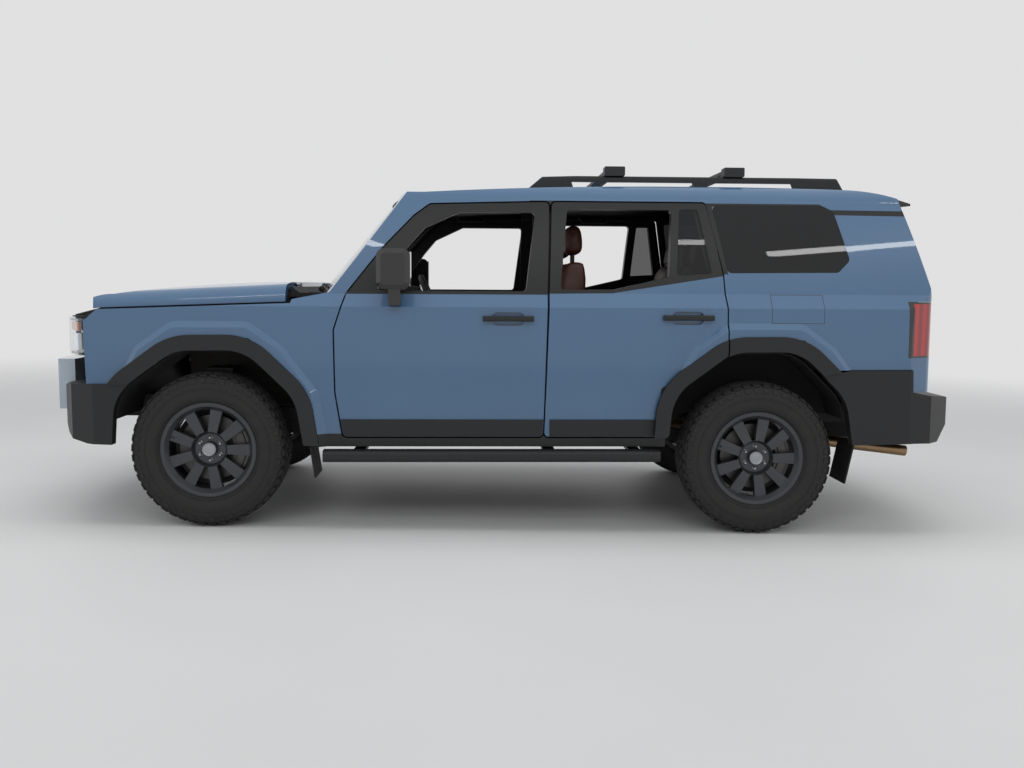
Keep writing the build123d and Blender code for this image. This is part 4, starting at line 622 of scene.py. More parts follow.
@dataclass
class Shape:
    """A mesh under construction in millimetres, which becomes one piece on a body of the frame."""

    place: Callable[[float, float, float], Vector] = tip
    bm: bmesh.types.BMesh = field(default_factory=bmesh.new)
    sharp_deg: float = 32.0

    def skin(self, rings: Sequence[Sequence[bmesh.types.BMVert]], joined: bool = False) -> None:
        """Join closed rings of vertices by quads.

        Args:
            rings: the rings, all with the same count.
            joined: whether the last ring also meets the first.
        """
        pairs = list(zip(rings, rings[1:])) + ([(rings[-1], rings[0])] if joined else [])
        for first, second in pairs:
            for index in range(len(first)):
                after = (index + 1) % len(first)
                self.bm.faces.new((first[index], first[after], second[after], second[index]))

    def prism(self, outline: Sequence[Point2], view: View, low: float, high: float) -> None:
        """Add a prism of an outline between two depths.

        Args:
            outline: the corner points in the view's two coordinates.
            view: the plane of the outline.
            low, high: the depths of its two ends.
        """
        def lift(pair: Point2, depth: float) -> Point3:
            """The outline point at one depth."""
            point = dict(zip(view.value, (*pair, depth)))
            return (point[0], point[1], point[2])

        near = [self.bm.verts.new(lift(pair, low)) for pair in outline]
        far = [self.bm.verts.new(lift(pair, high)) for pair in outline]
        self.bm.faces.new(near)
        self.bm.faces.new(far[::-1])
        for index in range(len(outline)):
            after = (index + 1) % len(outline)
            self.bm.faces.new((near[after], near[index], far[index], far[after]))

    def block(self, low: Point3, high: Point3) -> None:
        """Add a box between two corners."""
        self.prism(rectangle((low[0], low[2]), (high[0], high[2])), View.SIDE, low[1], high[1])

    def tube(self, route: Sequence[Point3], radius: float, sides: int = 12) -> None:
        """Add a round bar along a route.

        Args:
            route: the points along its middle.
            radius: the bar's radius.
            sides: corners of its section.
        """
        points = [Vector(point) for point in route]
        rings = []
        up = Vector((0.0, 0.0, 1.0))
        for index, point in enumerate(points):
            before = points[index - 1] if index else point
            after = points[index + 1] if index < len(points) - 1 else point
            along = (after - before).normalized()
            if abs(along.dot(up)) > 0.95:
                up = Vector((1.0, 0.0, 0.0))
            across = along.cross(up).normalized()
            up = across.cross(along).normalized()
            ring = []
            for step in range(sides):
                turn = math.tau * step / sides
                ring.append(self.bm.verts.new(point + radius * (math.cos(turn) * across + math.sin(turn) * up)))
            rings.append(ring)
        self.skin(rings)
        self.bm.faces.new(rings[0][::-1])
        self.bm.faces.new(rings[-1])

    def turned(self, profile: Sequence[Point2], centre: Point3, axis: Vector, sides: int = 32) -> None:
        """Add a closed turned form.

        Args:
            profile: (distance along the axis, radius) points of the closed section.
            centre: where the axis starts.
            axis: the direction of the axis.
            sides: segments round it.
        """
        along = axis.normalized()
        across = along.orthogonal().normalized()
        third = along.cross(across)
        start = Vector(centre)
        rings = []
        for step in range(sides):
            turn = math.tau * step / sides
            out = math.cos(turn) * across + math.sin(turn) * third
            rings.append([self.bm.verts.new(start + along * far + out * radius) for far, radius in profile])
        self.skin(rings, joined=True)
        bmesh.ops.remove_doubles(self.bm, verts=self.bm.verts, dist=WELD_MM)

    def bevel(self, width: float, segments: int = 2, angle: float = 30.0) -> None:
        """Round the sharp edges made so far.

        Args:
            width: size of the rounding.
            segments: steps across it.
            angle: only edges sharper than this many degrees are rounded.
        """
        bmesh.ops.recalc_face_normals(self.bm, faces=self.bm.faces)
        sharp = [
            edge for edge in self.bm.edges
            if edge.is_manifold and edge.calc_face_angle(0.0) > math.radians(angle)
        ]
        bmesh.ops.bevel(self.bm, geom=sharp, offset=width, segments=segments, affect="EDGES", clamp_overlap=True)

    def mirrored(self) -> None:
        """Add the same again on the vehicle's other side."""
        copy = bmesh.ops.duplicate(self.bm, geom=self.bm.verts[:] + self.bm.edges[:] + self.bm.faces[:])
        verts = [item for item in copy["geom"] if isinstance(item, bmesh.types.BMVert)]
        faces = [item for item in copy["geom"] if isinstance(item, bmesh.types.BMFace)]
        for vert in verts:
            vert.co.y = -vert.co.y
        bmesh.ops.reverse_faces(self.bm, faces=faces)

    def mesh(self, name: str, finish: str | object, smooth: bool) -> bpy.types.Mesh:
        """Put the points in their place and make the mesh with its finish.

        Args:
            name: the mesh's name.
            finish: its finish.
            smooth: whether its faces are shaded smooth, with edges above sharp_deg kept.

        Returns:
            The mesh in metres.
        """
        bmesh.ops.recalc_face_normals(self.bm, faces=self.bm.faces)
        for vert in self.bm.verts:
            vert.co = self.place(*vert.co)
        mesh = bpy.data.meshes.new(name)
        self.bm.to_mesh(mesh)
        self.bm.free()
        if smooth:
            mesh.shade_smooth()
            mesh.set_sharp_from_angle(angle=math.radians(self.sharp_deg))
        mesh.materials.append(PALETTE.get(finish))
        return mesh

    def piece(self, name: str, body: str, finish: str | object, slot: str, smooth: bool = True) -> bpy.types.Object:
        """Turn the mesh into a piece that rides on a body.

        Args:
            name: the piece's name.
            body: the body of the frame that carries it.
            finish: its finish.
            slot: the record's material slot; not used.
            smooth: whether its faces are shaded smooth, with sharp edges kept.

        Returns:
            The new object.
        """
        bmesh.ops.remove_doubles(self.bm, verts=self.bm.verts, dist=WELD_MM)
        mesh = self.mesh(name, finish, smooth)
        made = bpy.data.objects.new(name, mesh)
        bpy.context.collection.objects.link(made)
        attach(made, body)
        LOG.info("piece %s: %d faces on %s", name, len(mesh.polygons), body)
        return made


@dataclass
class Studio:
    """Pale floor, soft lamps and the camera at the photograph's viewpoint."""

    camera_m: Point3 = (0.1794, 6.1881, 1.2747)
    yaw: float = 0.0386
    pitch: float = 0.0958
    roll: float = 0.0220
    focal_px: float = 1021.77
    sensor_mm: float = 36.0
    floor_reach_m: float = 60.0
    floor_colour: str = "#d9d9d8"
    wall_colour: str = "#e9e9ea"
    wall_strength: float = 0.92
    fill_colour: str = "#dfe2e6"
    fill_strength: float = 0.5
    fade_m: Point2 = (4.5, 13.0)
    lamps: tuple[tuple[str, Point3, Point3, Point2, float, bool], ...] = (
        # name, place, target, size, power, whether it mirrors in the paint
        ("top_box", (0.0, 0.6, 5.4), (0.0, 0.0, 0.0), (8.0, 3.0), 170.0, False),
        ("camera_side_box", (0.5, 7.5, 4.6), (0.0, 0.0, 0.9), (9.0, 1.6), 130.0, False),
        ("far_side_box", (-0.5, -7.5, 3.6), (0.0, 0.0, 0.9), (9.0, 2.0), 120.0, False),
        ("front_box", (8.0, 1.0, 3.4), (1.0, 0.0, 0.8), (4.0, 2.0), 70.0, False),
        ("rear_box", (-8.0, 1.0, 3.4), (-1.0, 0.0, 0.8), (4.0, 2.0), 70.0, False),
        ("tube_front", (2.0, 4.2, 3.9), (1.2, 0.9, 1.0), (2.2, 0.14), 9.0, True),
        ("tube_middle", (-0.8, 4.2, 3.9), (-0.6, 0.9, 1.0), (2.2, 0.14), 9.0, True),
        ("tube_rear", (-3.6, 4.2, 3.9), (-2.0, 0.9, 1.0), (2.2, 0.14), 9.0, True),
    )

    def build(self) -> None:
        """Make the floor, the lamps, the world and the camera."""
        self.make_floor()
        self.make_lamps()
        self.make_world()
        self.make_camera()

    def make_floor(self) -> None:
        """A wide matt floor that runs into the wall's tone far off, marked as stage."""
        mesh = bpy.data.meshes.new("studio_floor")
        reach = self.floor_reach_m
        corners = [(x, y, 0) for x, y in rectangle((-reach, -reach), (reach, reach))]
        mesh.from_pydata(corners, [], [(0, 1, 2, 3)])
        floor = bpy.data.objects.new("studio_floor", mesh)
        bpy.context.collection.objects.link(floor)
        face = Surface.start("painted_floor")
        face.give({"Base Color": face.patches(900.0, self.floor_colour, 0.94), "Roughness": 0.55})
        tree = face.tree
        far = node(tree, "ShaderNodeVectorMath", {0: face.place.outputs["Object"]}, operation="LENGTH")
        fade = node(tree, "ShaderNodeMapRange", {
            "Value": far.outputs["Value"], "From Min": self.fade_m[0], "From Max": self.fade_m[1],
        }, interpolation_type="SMOOTHSTEP")
        wall = node(tree, "ShaderNodeEmission", {"Color": srgb(self.wall_colour), "Strength": self.wall_strength})
        mix = node(tree, "ShaderNodeMixShader", {0: fade.outputs[0], 1: face.shader.outputs[0], 2: wall.outputs[0]})
        feed(tree, tree.nodes["Material Output"], {"Surface": mix.outputs[0]})
        mesh.materials.append(face.material)

    def make_lamps(self) -> None:
        """Soft boxes that light all round but don't mirror in the paint, and slim tubes that do."""
        for name, place, target, size, power, mirrors in self.lamps:
            lamp = bpy.data.lights.new(name, "AREA")
            lamp.shape = "RECTANGLE"
            lamp.size, lamp.size_y = size
            lamp.energy = power
            item = bpy.data.objects.new(name, lamp)
            item.location = place
            item.visible_glossy = mirrors
            item.rotation_euler = (Vector(target) - Vector(place)).to_track_quat("-Z", "Y").to_euler()
            bpy.context.collection.objects.link(item)

    def make_world(self) -> None:
        """A pale even surround: one tone to the camera, to glass and to gloss, and a dimmer one as fill light."""
        world = bpy.data.worlds.new("studio_world")
        bpy.context.scene.world = world
        world.use_nodes = True
        tree = world.node_tree
        tree.nodes.clear()
        path = node(tree, "ShaderNodeLightPath")
        seen = path.outputs["Is Camera Ray"]
        for ray in ("Is Transmission Ray", "Is Glossy Ray"):
            seen = node(tree, "ShaderNodeMath", {0: seen, 1: path.outputs[ray]}, operation="MAXIMUM").outputs[0]
        plain, shown = (
            node(tree, "ShaderNodeBackground", {"Color": srgb(colour), "Strength": strength}).outputs[0]
            for colour, strength in (
                (self.fill_colour, self.fill_strength), (self.wall_colour, self.wall_strength),
            )
        )
        mix = node(tree, "ShaderNodeMixShader", {0: seen, 1: plain, 2: shown})
        node(tree, "ShaderNodeOutputWorld", {"Surface": mix.outputs[0]})

    def make_camera(self) -> None:
        """The camera, from the viewpoint fitted to the photograph."""
        base = Matrix(((-1, 0, 0), (0, 0, -1), (0, -1, 0)))
        cos, sin = math.cos(self.yaw), math.sin(self.yaw)
        turn = Matrix(((cos, 0, -sin), (0, 1, 0), (sin, 0, cos)))
        cos, sin = math.cos(self.pitch), math.sin(self.pitch)
        nod = Matrix(((1, 0, 0), (0, cos, -sin), (0, sin, cos)))
        cos, sin = math.cos(self.roll), math.sin(self.roll)
        bank = Matrix(((cos, -sin, 0), (sin, cos, 0), (0, 0, 1)))
        flip = Matrix(((1, 0, 0), (0, -1, 0), (0, 0, -1)))
        to_camera = flip @ bank @ nod @ turn @ base
        lens = bpy.data.cameras.new("photo_camera")
        lens.sensor_width = self.sensor_mm
        lens.sensor_fit = "HORIZONTAL"
        lens.lens = self.focal_px / IMAGE_WIDTH * lens.sensor_width
        lens.clip_end = 200.0
        camera = bpy.data.objects.new("photo_camera", lens)
        camera.matrix_world = Matrix.Translation(Vector(self.camera_m)) @ to_camera.transposed().to_4x4()
        bpy.context.collection.objects.link(camera)
        bpy.context.scene.camera = camera
        bpy.context.scene.view_settings.view_transform = "Standard"


# Stretches of the panels with another finish, in the side view
ARCH = ((470, 0), (470, 430), (452, 690), (146, 915), (-205, 918), (-460, 670), (-500, 430), (-500, 0))
ROOF_LINE = ((RX + 600, 1690), (RX - 600, 1690))
FRAME_FRONT = region(((-2000, 1207), (2000, 1203)))
FRAME_REAR = region(((RX + 184, 1306), (SPLIT_X - 380, 1220)), ((SPLIT_X - 600, 1218), (SPLIT_X, 1210)))
CENTRE_POST = region(
    ((-2000, 1214), (2000, 1208)), ((SPLIT_X + 80, 1000), (SPLIT_X + 80, 1700)),
    ((SPLIT_X - 140, 1700), (SPLIT_X - 140, 1000)),
)
SILL_BAND = region(((2000, 486), (-2000, 486)))
REAR_POST = region(((RX + 120, 1316), (RX + 184, 1316)), ((RX + 228, 1680), (RX + 156, 1322)), ROOF_LINE)
WINDOW_TOP = region(((RX - 372, 1672), (RX + 300, 1672)), ROOF_LINE, ((RX - 350, 1690), (RX - 380, 1672)))
LAMP_FRAME = (
    region(((RX - 812, 1300), (RX - 812, 800))), region(((RX - 1200, 1168), (RX, 1168))),
    region(((RX, 897), (RX - 1200, 897))),
)
TAIL_BAND = region(
    ((RX - 900, 1628), (RX - 400, 1633)), ((RX - 400, 1660), (RX - 900, 1656)), ((RX - 405, 1200), (RX - 405, 1700)),
)


def arch_region(axle_x: float, band_mm: float = 60.0) -> Region:
    """The wheel opening and the band round it that the flare covers, which are black.

    Args:
        axle_x: the axle's place.
        band_mm: how far the band reaches past the opening.

    Returns:
        The region in the side view.
    """
    rim = moved(ARCH, axle_x)
    halves = [side_edge(first, second) for first, second in zip(rim, rim[1:])]
    return Region(tuple((normal, limit - band_mm / 1000) for normal, limit in halves))


def patch(low: Point2, high: Point2) -> Region:
    """An upright patch of the left side between two (x, z) corners."""
    corners = rectangle(low, high)
    left_side = ((0.0, 1.0, 0.0), 0.5)
    return Region((*region(*zip(corners, corners[1:] + corners[:1])).halves, left_side))


FUEL_DOOR = (patch((RX - 338, 1063), (RX - 61, 1212)), patch((RX - 335, 1066), (RX - 64, 1209)))


@dataclass
class PanelDress:
    """Finishes of the CAD nodes that show as they are."""

    nodes: dict[str, bpy.types.Object]
    plain: dict[str, tuple[str, ...]] = field(default_factory=lambda: {
        "enamel_blue": ("hood",),
        "satin_black_polypropylene": (
            "arch_flares", "front_bumper", "rear_bumper", "grille", "side_steps", "roof_rails", "cross_bars",
        ),
        "black_seal_rubber": ("cowl", "mud_flaps"),
        "silver_blue_lacquer": ("bumper_insert",),
        "gloss_black_abs": ("spoiler",),
        "clear_glass": ("windscreen",),
        "tinted_glass": ("quarter_glass", "tailgate_glass"),
        "clear_lamp_cover": ("headlamps",),
        "black_liner_felt": ("wheel_liners", "fuel_tank"),
        "heat_tanned_steel": ("exhaust",),
        "black_chassis_paint": ("ladder_frame", "radiator_support", "front_suspension", "rear_axle"),
        "cast_grey_iron": ("powertrain", "knuckle_left", "knuckle_right"),
        "dark_carpet": ("floor_pan",),
        "soft_touch_dark": ("dashboard", "steering_wheel"),
        "tyre_rubber": ("spare_wheel",),
        "brown_hide": ("front_seats", "rear_bench"),
    })

    def build(self) -> None:
        """Give every shown CAD node its finish."""
        for finish, names in self.plain.items():
            for name in names:
                self.dress(name, finish)
        inside = Facing.CENTRE
        door_front = BodyPaint("enamel_door_front", regions=(FRAME_FRONT,), facing=inside)
        door_rear = BodyPaint("enamel_door_rear", regions=(FRAME_REAR, arch_region(RX)), facing=inside)
        for side, _ in SIDES:
            self.dress(f"door_front_{side}", door_front)
            self.dress(f"door_rear_{side}", door_rear)
            self.dress(f"door_glass_{side}", "privacy_glass_light")
            self.dress(f"mirror_{side}", "gloss_black_abs")
            for end, _ in AXLES:
                self.dress(f"door_trim_{end}_{side}", "satin_black_polypropylene")
                self.dress(f"rim_{end}_{side}", "gunmetal_lacquer")
                self.dress(f"tyre_{end}_{side}", "tyre_rubber")
        self.dress("side_frames", BodyPaint("enamel_pillars", regions=(CENTRE_POST, SILL_BAND), facing=inside))
        self.dress("quarter_panels", BodyPaint(
            "enamel_quarter", regions=(TAIL_BAND, REAR_POST, WINDOW_TOP, arch_region(RX)), lines=(FUEL_DOOR,),
            facing=inside,
        ))
        self.dress("fenders", BodyPaint("enamel_fenders", regions=(SILL_BAND, arch_region(FX)), facing=inside))
        self.dress("tail_lamps", LampLens("framed_red_lens", "#b30f16", "#7d080d", 26.0, frame=LAMP_FRAME))
        self.dress("roof_panel", BodyPaint("enamel_roof", facing=Facing.DOWN))
        self.dress("tailgate", BodyPaint("enamel_tailgate", facing=Facing.FORWARD))

    def dress(self, name: str, finish: str | object) -> None:
        """Put one finish on one CAD node."""
        item = self.nodes[name]
        item.data.materials.clear()
        item.data.materials.append(PALETTE.get(finish))
        LOG.info("node %s dressed", name)


@dataclass
class Tyre:
    """All-terrain tyre: a turned carcass with staggered tread blocks and side lugs moulded on it."""

    pitches: int = 46
    sides: int = 96
    sharp_deg: float = 28.0
    carcass: tuple[Point2, ...] = (
        (0, 389), (40, 388.6), (74, 387), (98, 384), (110, 379), (117, 368), (122, 352), (126, 330), (127.5, 306),
        (125.5, 284), (119, 266), (108, 253), (98, 246.5), (97, 232),
    )
    # middle along the section, half width, half length share, skew, height, pitch shift
    rows: tuple[tuple[float, float, float, float, float, float], ...] = (
        (19, 15, 0.39, 0.16, 10.5, 0.0),
        (56, 17, 0.36, -0.14, 10.0, 0.5),
        (96, 16.5, 0.34, 0.05, 9.5, 0.08),
        (132, 13, 0.30, 0.0, 4.2, 0.08),
    )
    # a block's top view: shares of its half width and half length
    block: tuple[Point2, ...] = (
        (-1.0, -1.0), (-0.25, -1.0), (0.25, -0.82), (1.0, -1.0), (1.0, 1.0), (0.25, 1.0), (-0.25, 0.82), (-1.0, 1.0),
    )
    # raised rings of the side wall: radius, how far each stands out, place across
    ribs: tuple[Point3, ...] = ((318.0, 2.4, 127.5), (262.0, 3.0, 117.0))

    def section_point(self, along: float, height: float) -> Point2:
        """A point of the section.

        Args:
            along: distance from the crown along the carcass.
            height: distance out from it.

        Returns:
            Its distance from the middle plane and from the axle.
        """
        left = along
        for first, second in zip(self.carcass, self.carcass[1:]):
            span = math.dist(first, second)
            if left <= span or second == self.carcass[-1]:
                share = min(1.0, left / span)
                out = Vector((second[1] - first[1], second[0] - first[0])) / span
                return (
                    first[0] + share * (second[0] - first[0]) - out[0] * height,
                    first[1] + share * (second[1] - first[1]) + out[1] * height,
                )
            left -= span
        return self.carcass[-1]

    def add_block(self, shape: Shape, turn: float, row: Sequence[float], side: int) -> None:
        """Add one tread block with a bevelled top.

        Args:
            shape: the tyre's mesh.
            turn: the block's place round the tyre, in radians.
            row: the row's numbers.
            side: 1 for the outer half of the tread, -1 for the inner.
        """
        middle, half, length, skew, height, _ = row
        reach = math.tau / self.pitches * length
        tilt = math.tau / self.pitches * skew
        rings = []
        for inset, raised in ((1.0, -2.0), (1.0, height - 1.6), (0.9, height)):
            ring = []
            for across, round_share in self.block:
                offset, radius = self.section_point(middle + across * half * inset, raised)
                angle = turn + round_share * reach * inset + across * tilt
                ring.append(shape.bm.verts.new((radius * math.cos(angle), side * offset, radius * math.sin(angle))))
            rings.append(ring)
        shape.skin(rings)
        shape.bm.faces.new(rings[-1])

    def mesh(self) -> bpy.types.Mesh:
        """The whole tyre about its own centre, in metres."""
        shape = Shape(place=level, sharp_deg=self.sharp_deg)
        centre, axis = (0.0, 0.0, 0.0), Vector((0, 1, 0))
        whole = [(-across, radius) for across, radius in reversed(self.carcass)] + list(self.carcass[1:])
        shape.turned(whole, centre, axis, self.sides)
        for radius, out, offset in self.ribs:
            for side in (1, -1):
                inner, outer = side * (offset - 3), side * (offset + out)
                rib = [(inner, radius - 5), (outer, radius - 2), (outer, radius + 2), (inner, radius + 5)]
                shape.turned(rib, centre, axis, self.sides)
        for pitch in range(self.pitches):
            for row in self.rows:
                turn = math.tau * (pitch + row[5]) / self.pitches
                self.add_block(shape, turn, row, 1)
                self.add_block(shape, turn + math.pi / self.pitches, row, -1)
        return shape.mesh("tyre_tread", "tyre_rubber", smooth=True)


@dataclass
class Wheels:
    """The four running wheels: treaded tyres, nuts, caps, rim lips, brake discs, shields and calipers.

    Profiles are (distance out along the axle, radius).
    """

    tyre: Tyre = field(default_factory=Tyre)
    nuts: int = 6
    nut_circle: float = 59.0
    disc_radius: float = 171.0
    caliper_arc: Point2 = (math.radians(150), math.radians(212))
    nut_profile: tuple[Point2, ...] = ((0, 0), (0, 12.5), (2.5, 12.5), (4, 10), (14, 9.4), (17, 6.5), (17.6, 0))
    cap_profile: tuple[Point2, ...] = (
        (0, 0), (0, 35), (4, 35), (6, 33), (6, 29), (4.5, 27), (5.5, 22), (7.5, 10), (8, 0),
    )
    lip_profile: tuple[Point2, ...] = (
        (-2, 226), (1.6, 228), (3.2, 236), (2.4, 244), (-1, 246.4), (-6, 246.2), (-6, 240),
    )
    shield_profile: tuple[Point2, ...] = ((0, 96), (0, 190), (6, 202), (8, 202), (2, 189), (2, 96))
    # the caliper's body and its bridge: inner and outer face along the axle, inner and outer radius
    caliper_parts: tuple[tuple[float, float, float, float], ...] = (
        (9.0, 36.0, 118.0, 196.0), (14.0, 40.0, 132.0, 182.0),
    )

    def build(self) -> None:
        """Dress the wheels one by one."""
        mesh = self.tyre.mesh()
        for end, axle_x in AXLES:
            for side, sign in SIDES:
                self.fit_tyre(mesh, end, side, axle_x, sign)
                self.fit_hub(end, side, axle_x, sign)
                self.fit_brake(end, side, axle_x, sign)

    def fit_tyre(self, mesh: bpy.types.Mesh, end: str, side: str, axle_x: float, sign: int) -> None:
        """Put a treaded tyre in place of the CAD ring.

        Args:
            mesh: the shared tyre mesh.
            end, side: which wheel.
            axle_x: the axle's place.
            sign: 1 on the left, -1 on the right.
        """
        tyre = bpy.data.objects.new(f"tread_{end}_{side}", mesh)
        turn = 0.0 if sign > 0 else math.pi
        hub = Matrix.Translation(level(axle_x, sign * WHEEL_Y, HUB_Z))
        tyre.matrix_world = hub @ Matrix.Rotation(turn, 4, "Z")
        bpy.context.collection.objects.link(tyre)
        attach(tyre, f"wheel_{end}_{side}")
        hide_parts(f"tyre_{end}_{side}")
        LOG.info("piece %s: %d faces", tyre.name, len(mesh.polygons))

    def fit_hub(self, end: str, side: str, axle_x: float, sign: int) -> None:
        """Wheel nuts on their circle, a bare centre cap, and the rim's lip with the valve.

        Args:
            end, side: which wheel.
            axle_x: the axle's place.
            sign: 1 on the left, -1 on the right.
        """
        body = f"wheel_{end}_{side}"
        out = Vector((0, sign, 0))
        nuts = Shape(place=level)
        for index in range(self.nuts):
            turn = math.tau * (index + 0.5) / self.nuts
            x, z = axle_x + self.nut_circle * math.cos(turn), HUB_Z + self.nut_circle * math.sin(turn)
            nuts.turned(self.nut_profile, (x, sign * (WHEEL_Y + 57.5), z), out, 6)
        nuts.piece(f"nuts_{end}_{side}", body, "zinc_plated_nut", "rim", smooth=False)
        cap = Shape(place=level)
        cap.turned(self.cap_profile, (axle_x, sign * (WHEEL_Y + 87.6), HUB_Z), out, 40)
        cap.piece(f"cap_{end}_{side}", body, "bare_cap_aluminium", "rim")
        lip = Shape(place=level)
        lip.turned(self.lip_profile, (axle_x, sign * (WHEEL_Y + 101.0), HUB_Z), out, 72)
        foot = (axle_x + 196, sign * (WHEEL_Y + 70), HUB_Z + 60)
        lip.tube([foot, (axle_x + 184, sign * (WHEEL_Y + 92), HUB_Z + 56)], 4.0, 10)
        lip.piece(f"rim_lip_{end}_{side}", body, "gunmetal_lacquer", "rim")

    def fit_brake(self, end: str, side: str, axle_x: float, sign: int) -> None:
        """A turned disc behind the spokes, and the shield and caliper that stay still.

        Args:
            end, side: which wheel.
            axle_x: the axle's place.
            sign: 1 on the left, -1 on the right.
        """
        out = Vector((0, sign, 0))
        rim = self.disc_radius
        disc = Shape(place=level)
        disc.turned(
            [(0, 84), (0, rim), (-1.5, rim + 1.0), (-20, rim + 1.0), (-20, 168), (-3, 168), (-3, 84)],
            (axle_x, sign * (WHEEL_Y + 5.2), HUB_Z), out, 64,
        )
        # the disc's dark steel colour is painted shade of the wheel's inside, on a real steel disc
        disc.piece(f"brake_disc_{end}_{side}", f"wheel_{end}_{side}", "steel_darkened_as_painted_shade", "cast")
        carrier = f"knuckle_{side}" if end == "front" else "body"
        shield = Shape(place=level)
        shield.turned(self.shield_profile, (axle_x, sign * (WHEEL_Y - 34), HUB_Z), out, 64)
        shield.piece(f"brake_shield_{end}_{side}", carrier, "black_chassis_paint", "cast")
        caliper = Shape(place=level)
        turns = spaced(*self.caliper_arc, 10)
        for low, high, inner, outer in self.caliper_parts:
            ring = [
                (axle_x + radius * math.cos(turn), HUB_Z + radius * math.sin(turn))
                for radius, arc in ((outer, turns), (inner, turns[::-1])) for turn in arc
            ]
            caliper.prism(ring, View.SIDE, *sorted((sign * (WHEEL_Y + low), sign * (WHEEL_Y + high))))
        caliper.bevel(4.0)
        # the caliper shares the darkened steel: painted shade of the wheel's inside
        caliper.piece(f"caliper_{end}_{side}", carrier, "steel_darkened_as_painted_shade", "cast")


@dataclass
class Lamps:
    """What shows through the lamp covers, and the high brake lamp."""

    corner: Point2 = (NOSE_X - 55, 760.0)
    tail: Point2 = (FX + 642, 932.0)
    low: float = 886.0
    high: float = 1070.0
    wall: float = 12.0
    light_middles: Point2 = (618.0, 700.0)

    def slanted(self, start: float, stop: float, near: float, far: float) -> list[Point2]:
        """A plan outline along the lamp's slanted side.

        Args:
            start, stop: distances from its front and rear ends.
            near, far: depths behind the cover.

        Returns:
            The four corners as (x, y).
        """
        first, second = Vector(self.corner), Vector(self.tail)
        along = (second - first).normalized()
        inward = Vector((-along.y, along.x))
        ends = (first + along * start, second - along * stop)
        corners = ((0, near), (1, near), (1, far), (0, far))
        return [tuple(ends[side] + inward * depth) for side, depth in corners]

    def build(self) -> None:
        """Make the bowls, lights and markers of the headlamps, and the brake lamp."""
        bowl = Shape()
        bowl.prism(self.slanted(-2, -2, 34, 42), View.PLAN, self.low, self.high)
        bowl.prism(rectangle((NOSE_X - 126, 572), (NOSE_X - 116, 742)), View.PLAN, self.low, self.high)
        shelf = [(NOSE_X - 120, 574), (NOSE_X - 44, 574), (NOSE_X - 72, 752), (NOSE_X - 120, 752)]
        for z in (self.low, self.high - self.wall):
            bowl.prism(self.slanted(4, 4, 8, 40), View.PLAN, z, z + self.wall)
            bowl.prism(shelf, View.PLAN, z, z + self.wall)
        bowl.mirrored()
        bowl.piece("headlamp_bowls", "body", "gloss_black_abs", "gloss_black")
        lights = Shape()
        lights.prism(self.slanted(26, 40, 9, 30), View.PLAN, self.low + 22, self.high - 74)
        back, front = NOSE_X - 114, NOSE_X - 74
        for y in self.light_middles:
            outline = [(back, y - 34), (front, y - 30), (front, y + 30), (back, y + 34)]
            lights.prism(outline, View.PLAN, self.low + 40, self.high - 40)
        marker = Shape()
        marker.prism(self.slanted(30, 18, 7, 26), View.PLAN, self.high - 62, self.high - 16)
        for shape, name, finish in (
            (lights, "headlamp_light_bars", "white_lens"), (marker, "side_markers", "amber_lens"),
        ):
            shape.bevel(4.0)
            shape.mirrored()
            shape.piece(name, "body", finish, "lamp_clear")
        brake = Shape()
        brake.block((RX - 800, -190, 1668), (RX - 776, 190, 1684))
        brake.bevel(3.0)
        brake.piece("high_brake_lamp", "tailgate", "red_lens", "lamp_red")


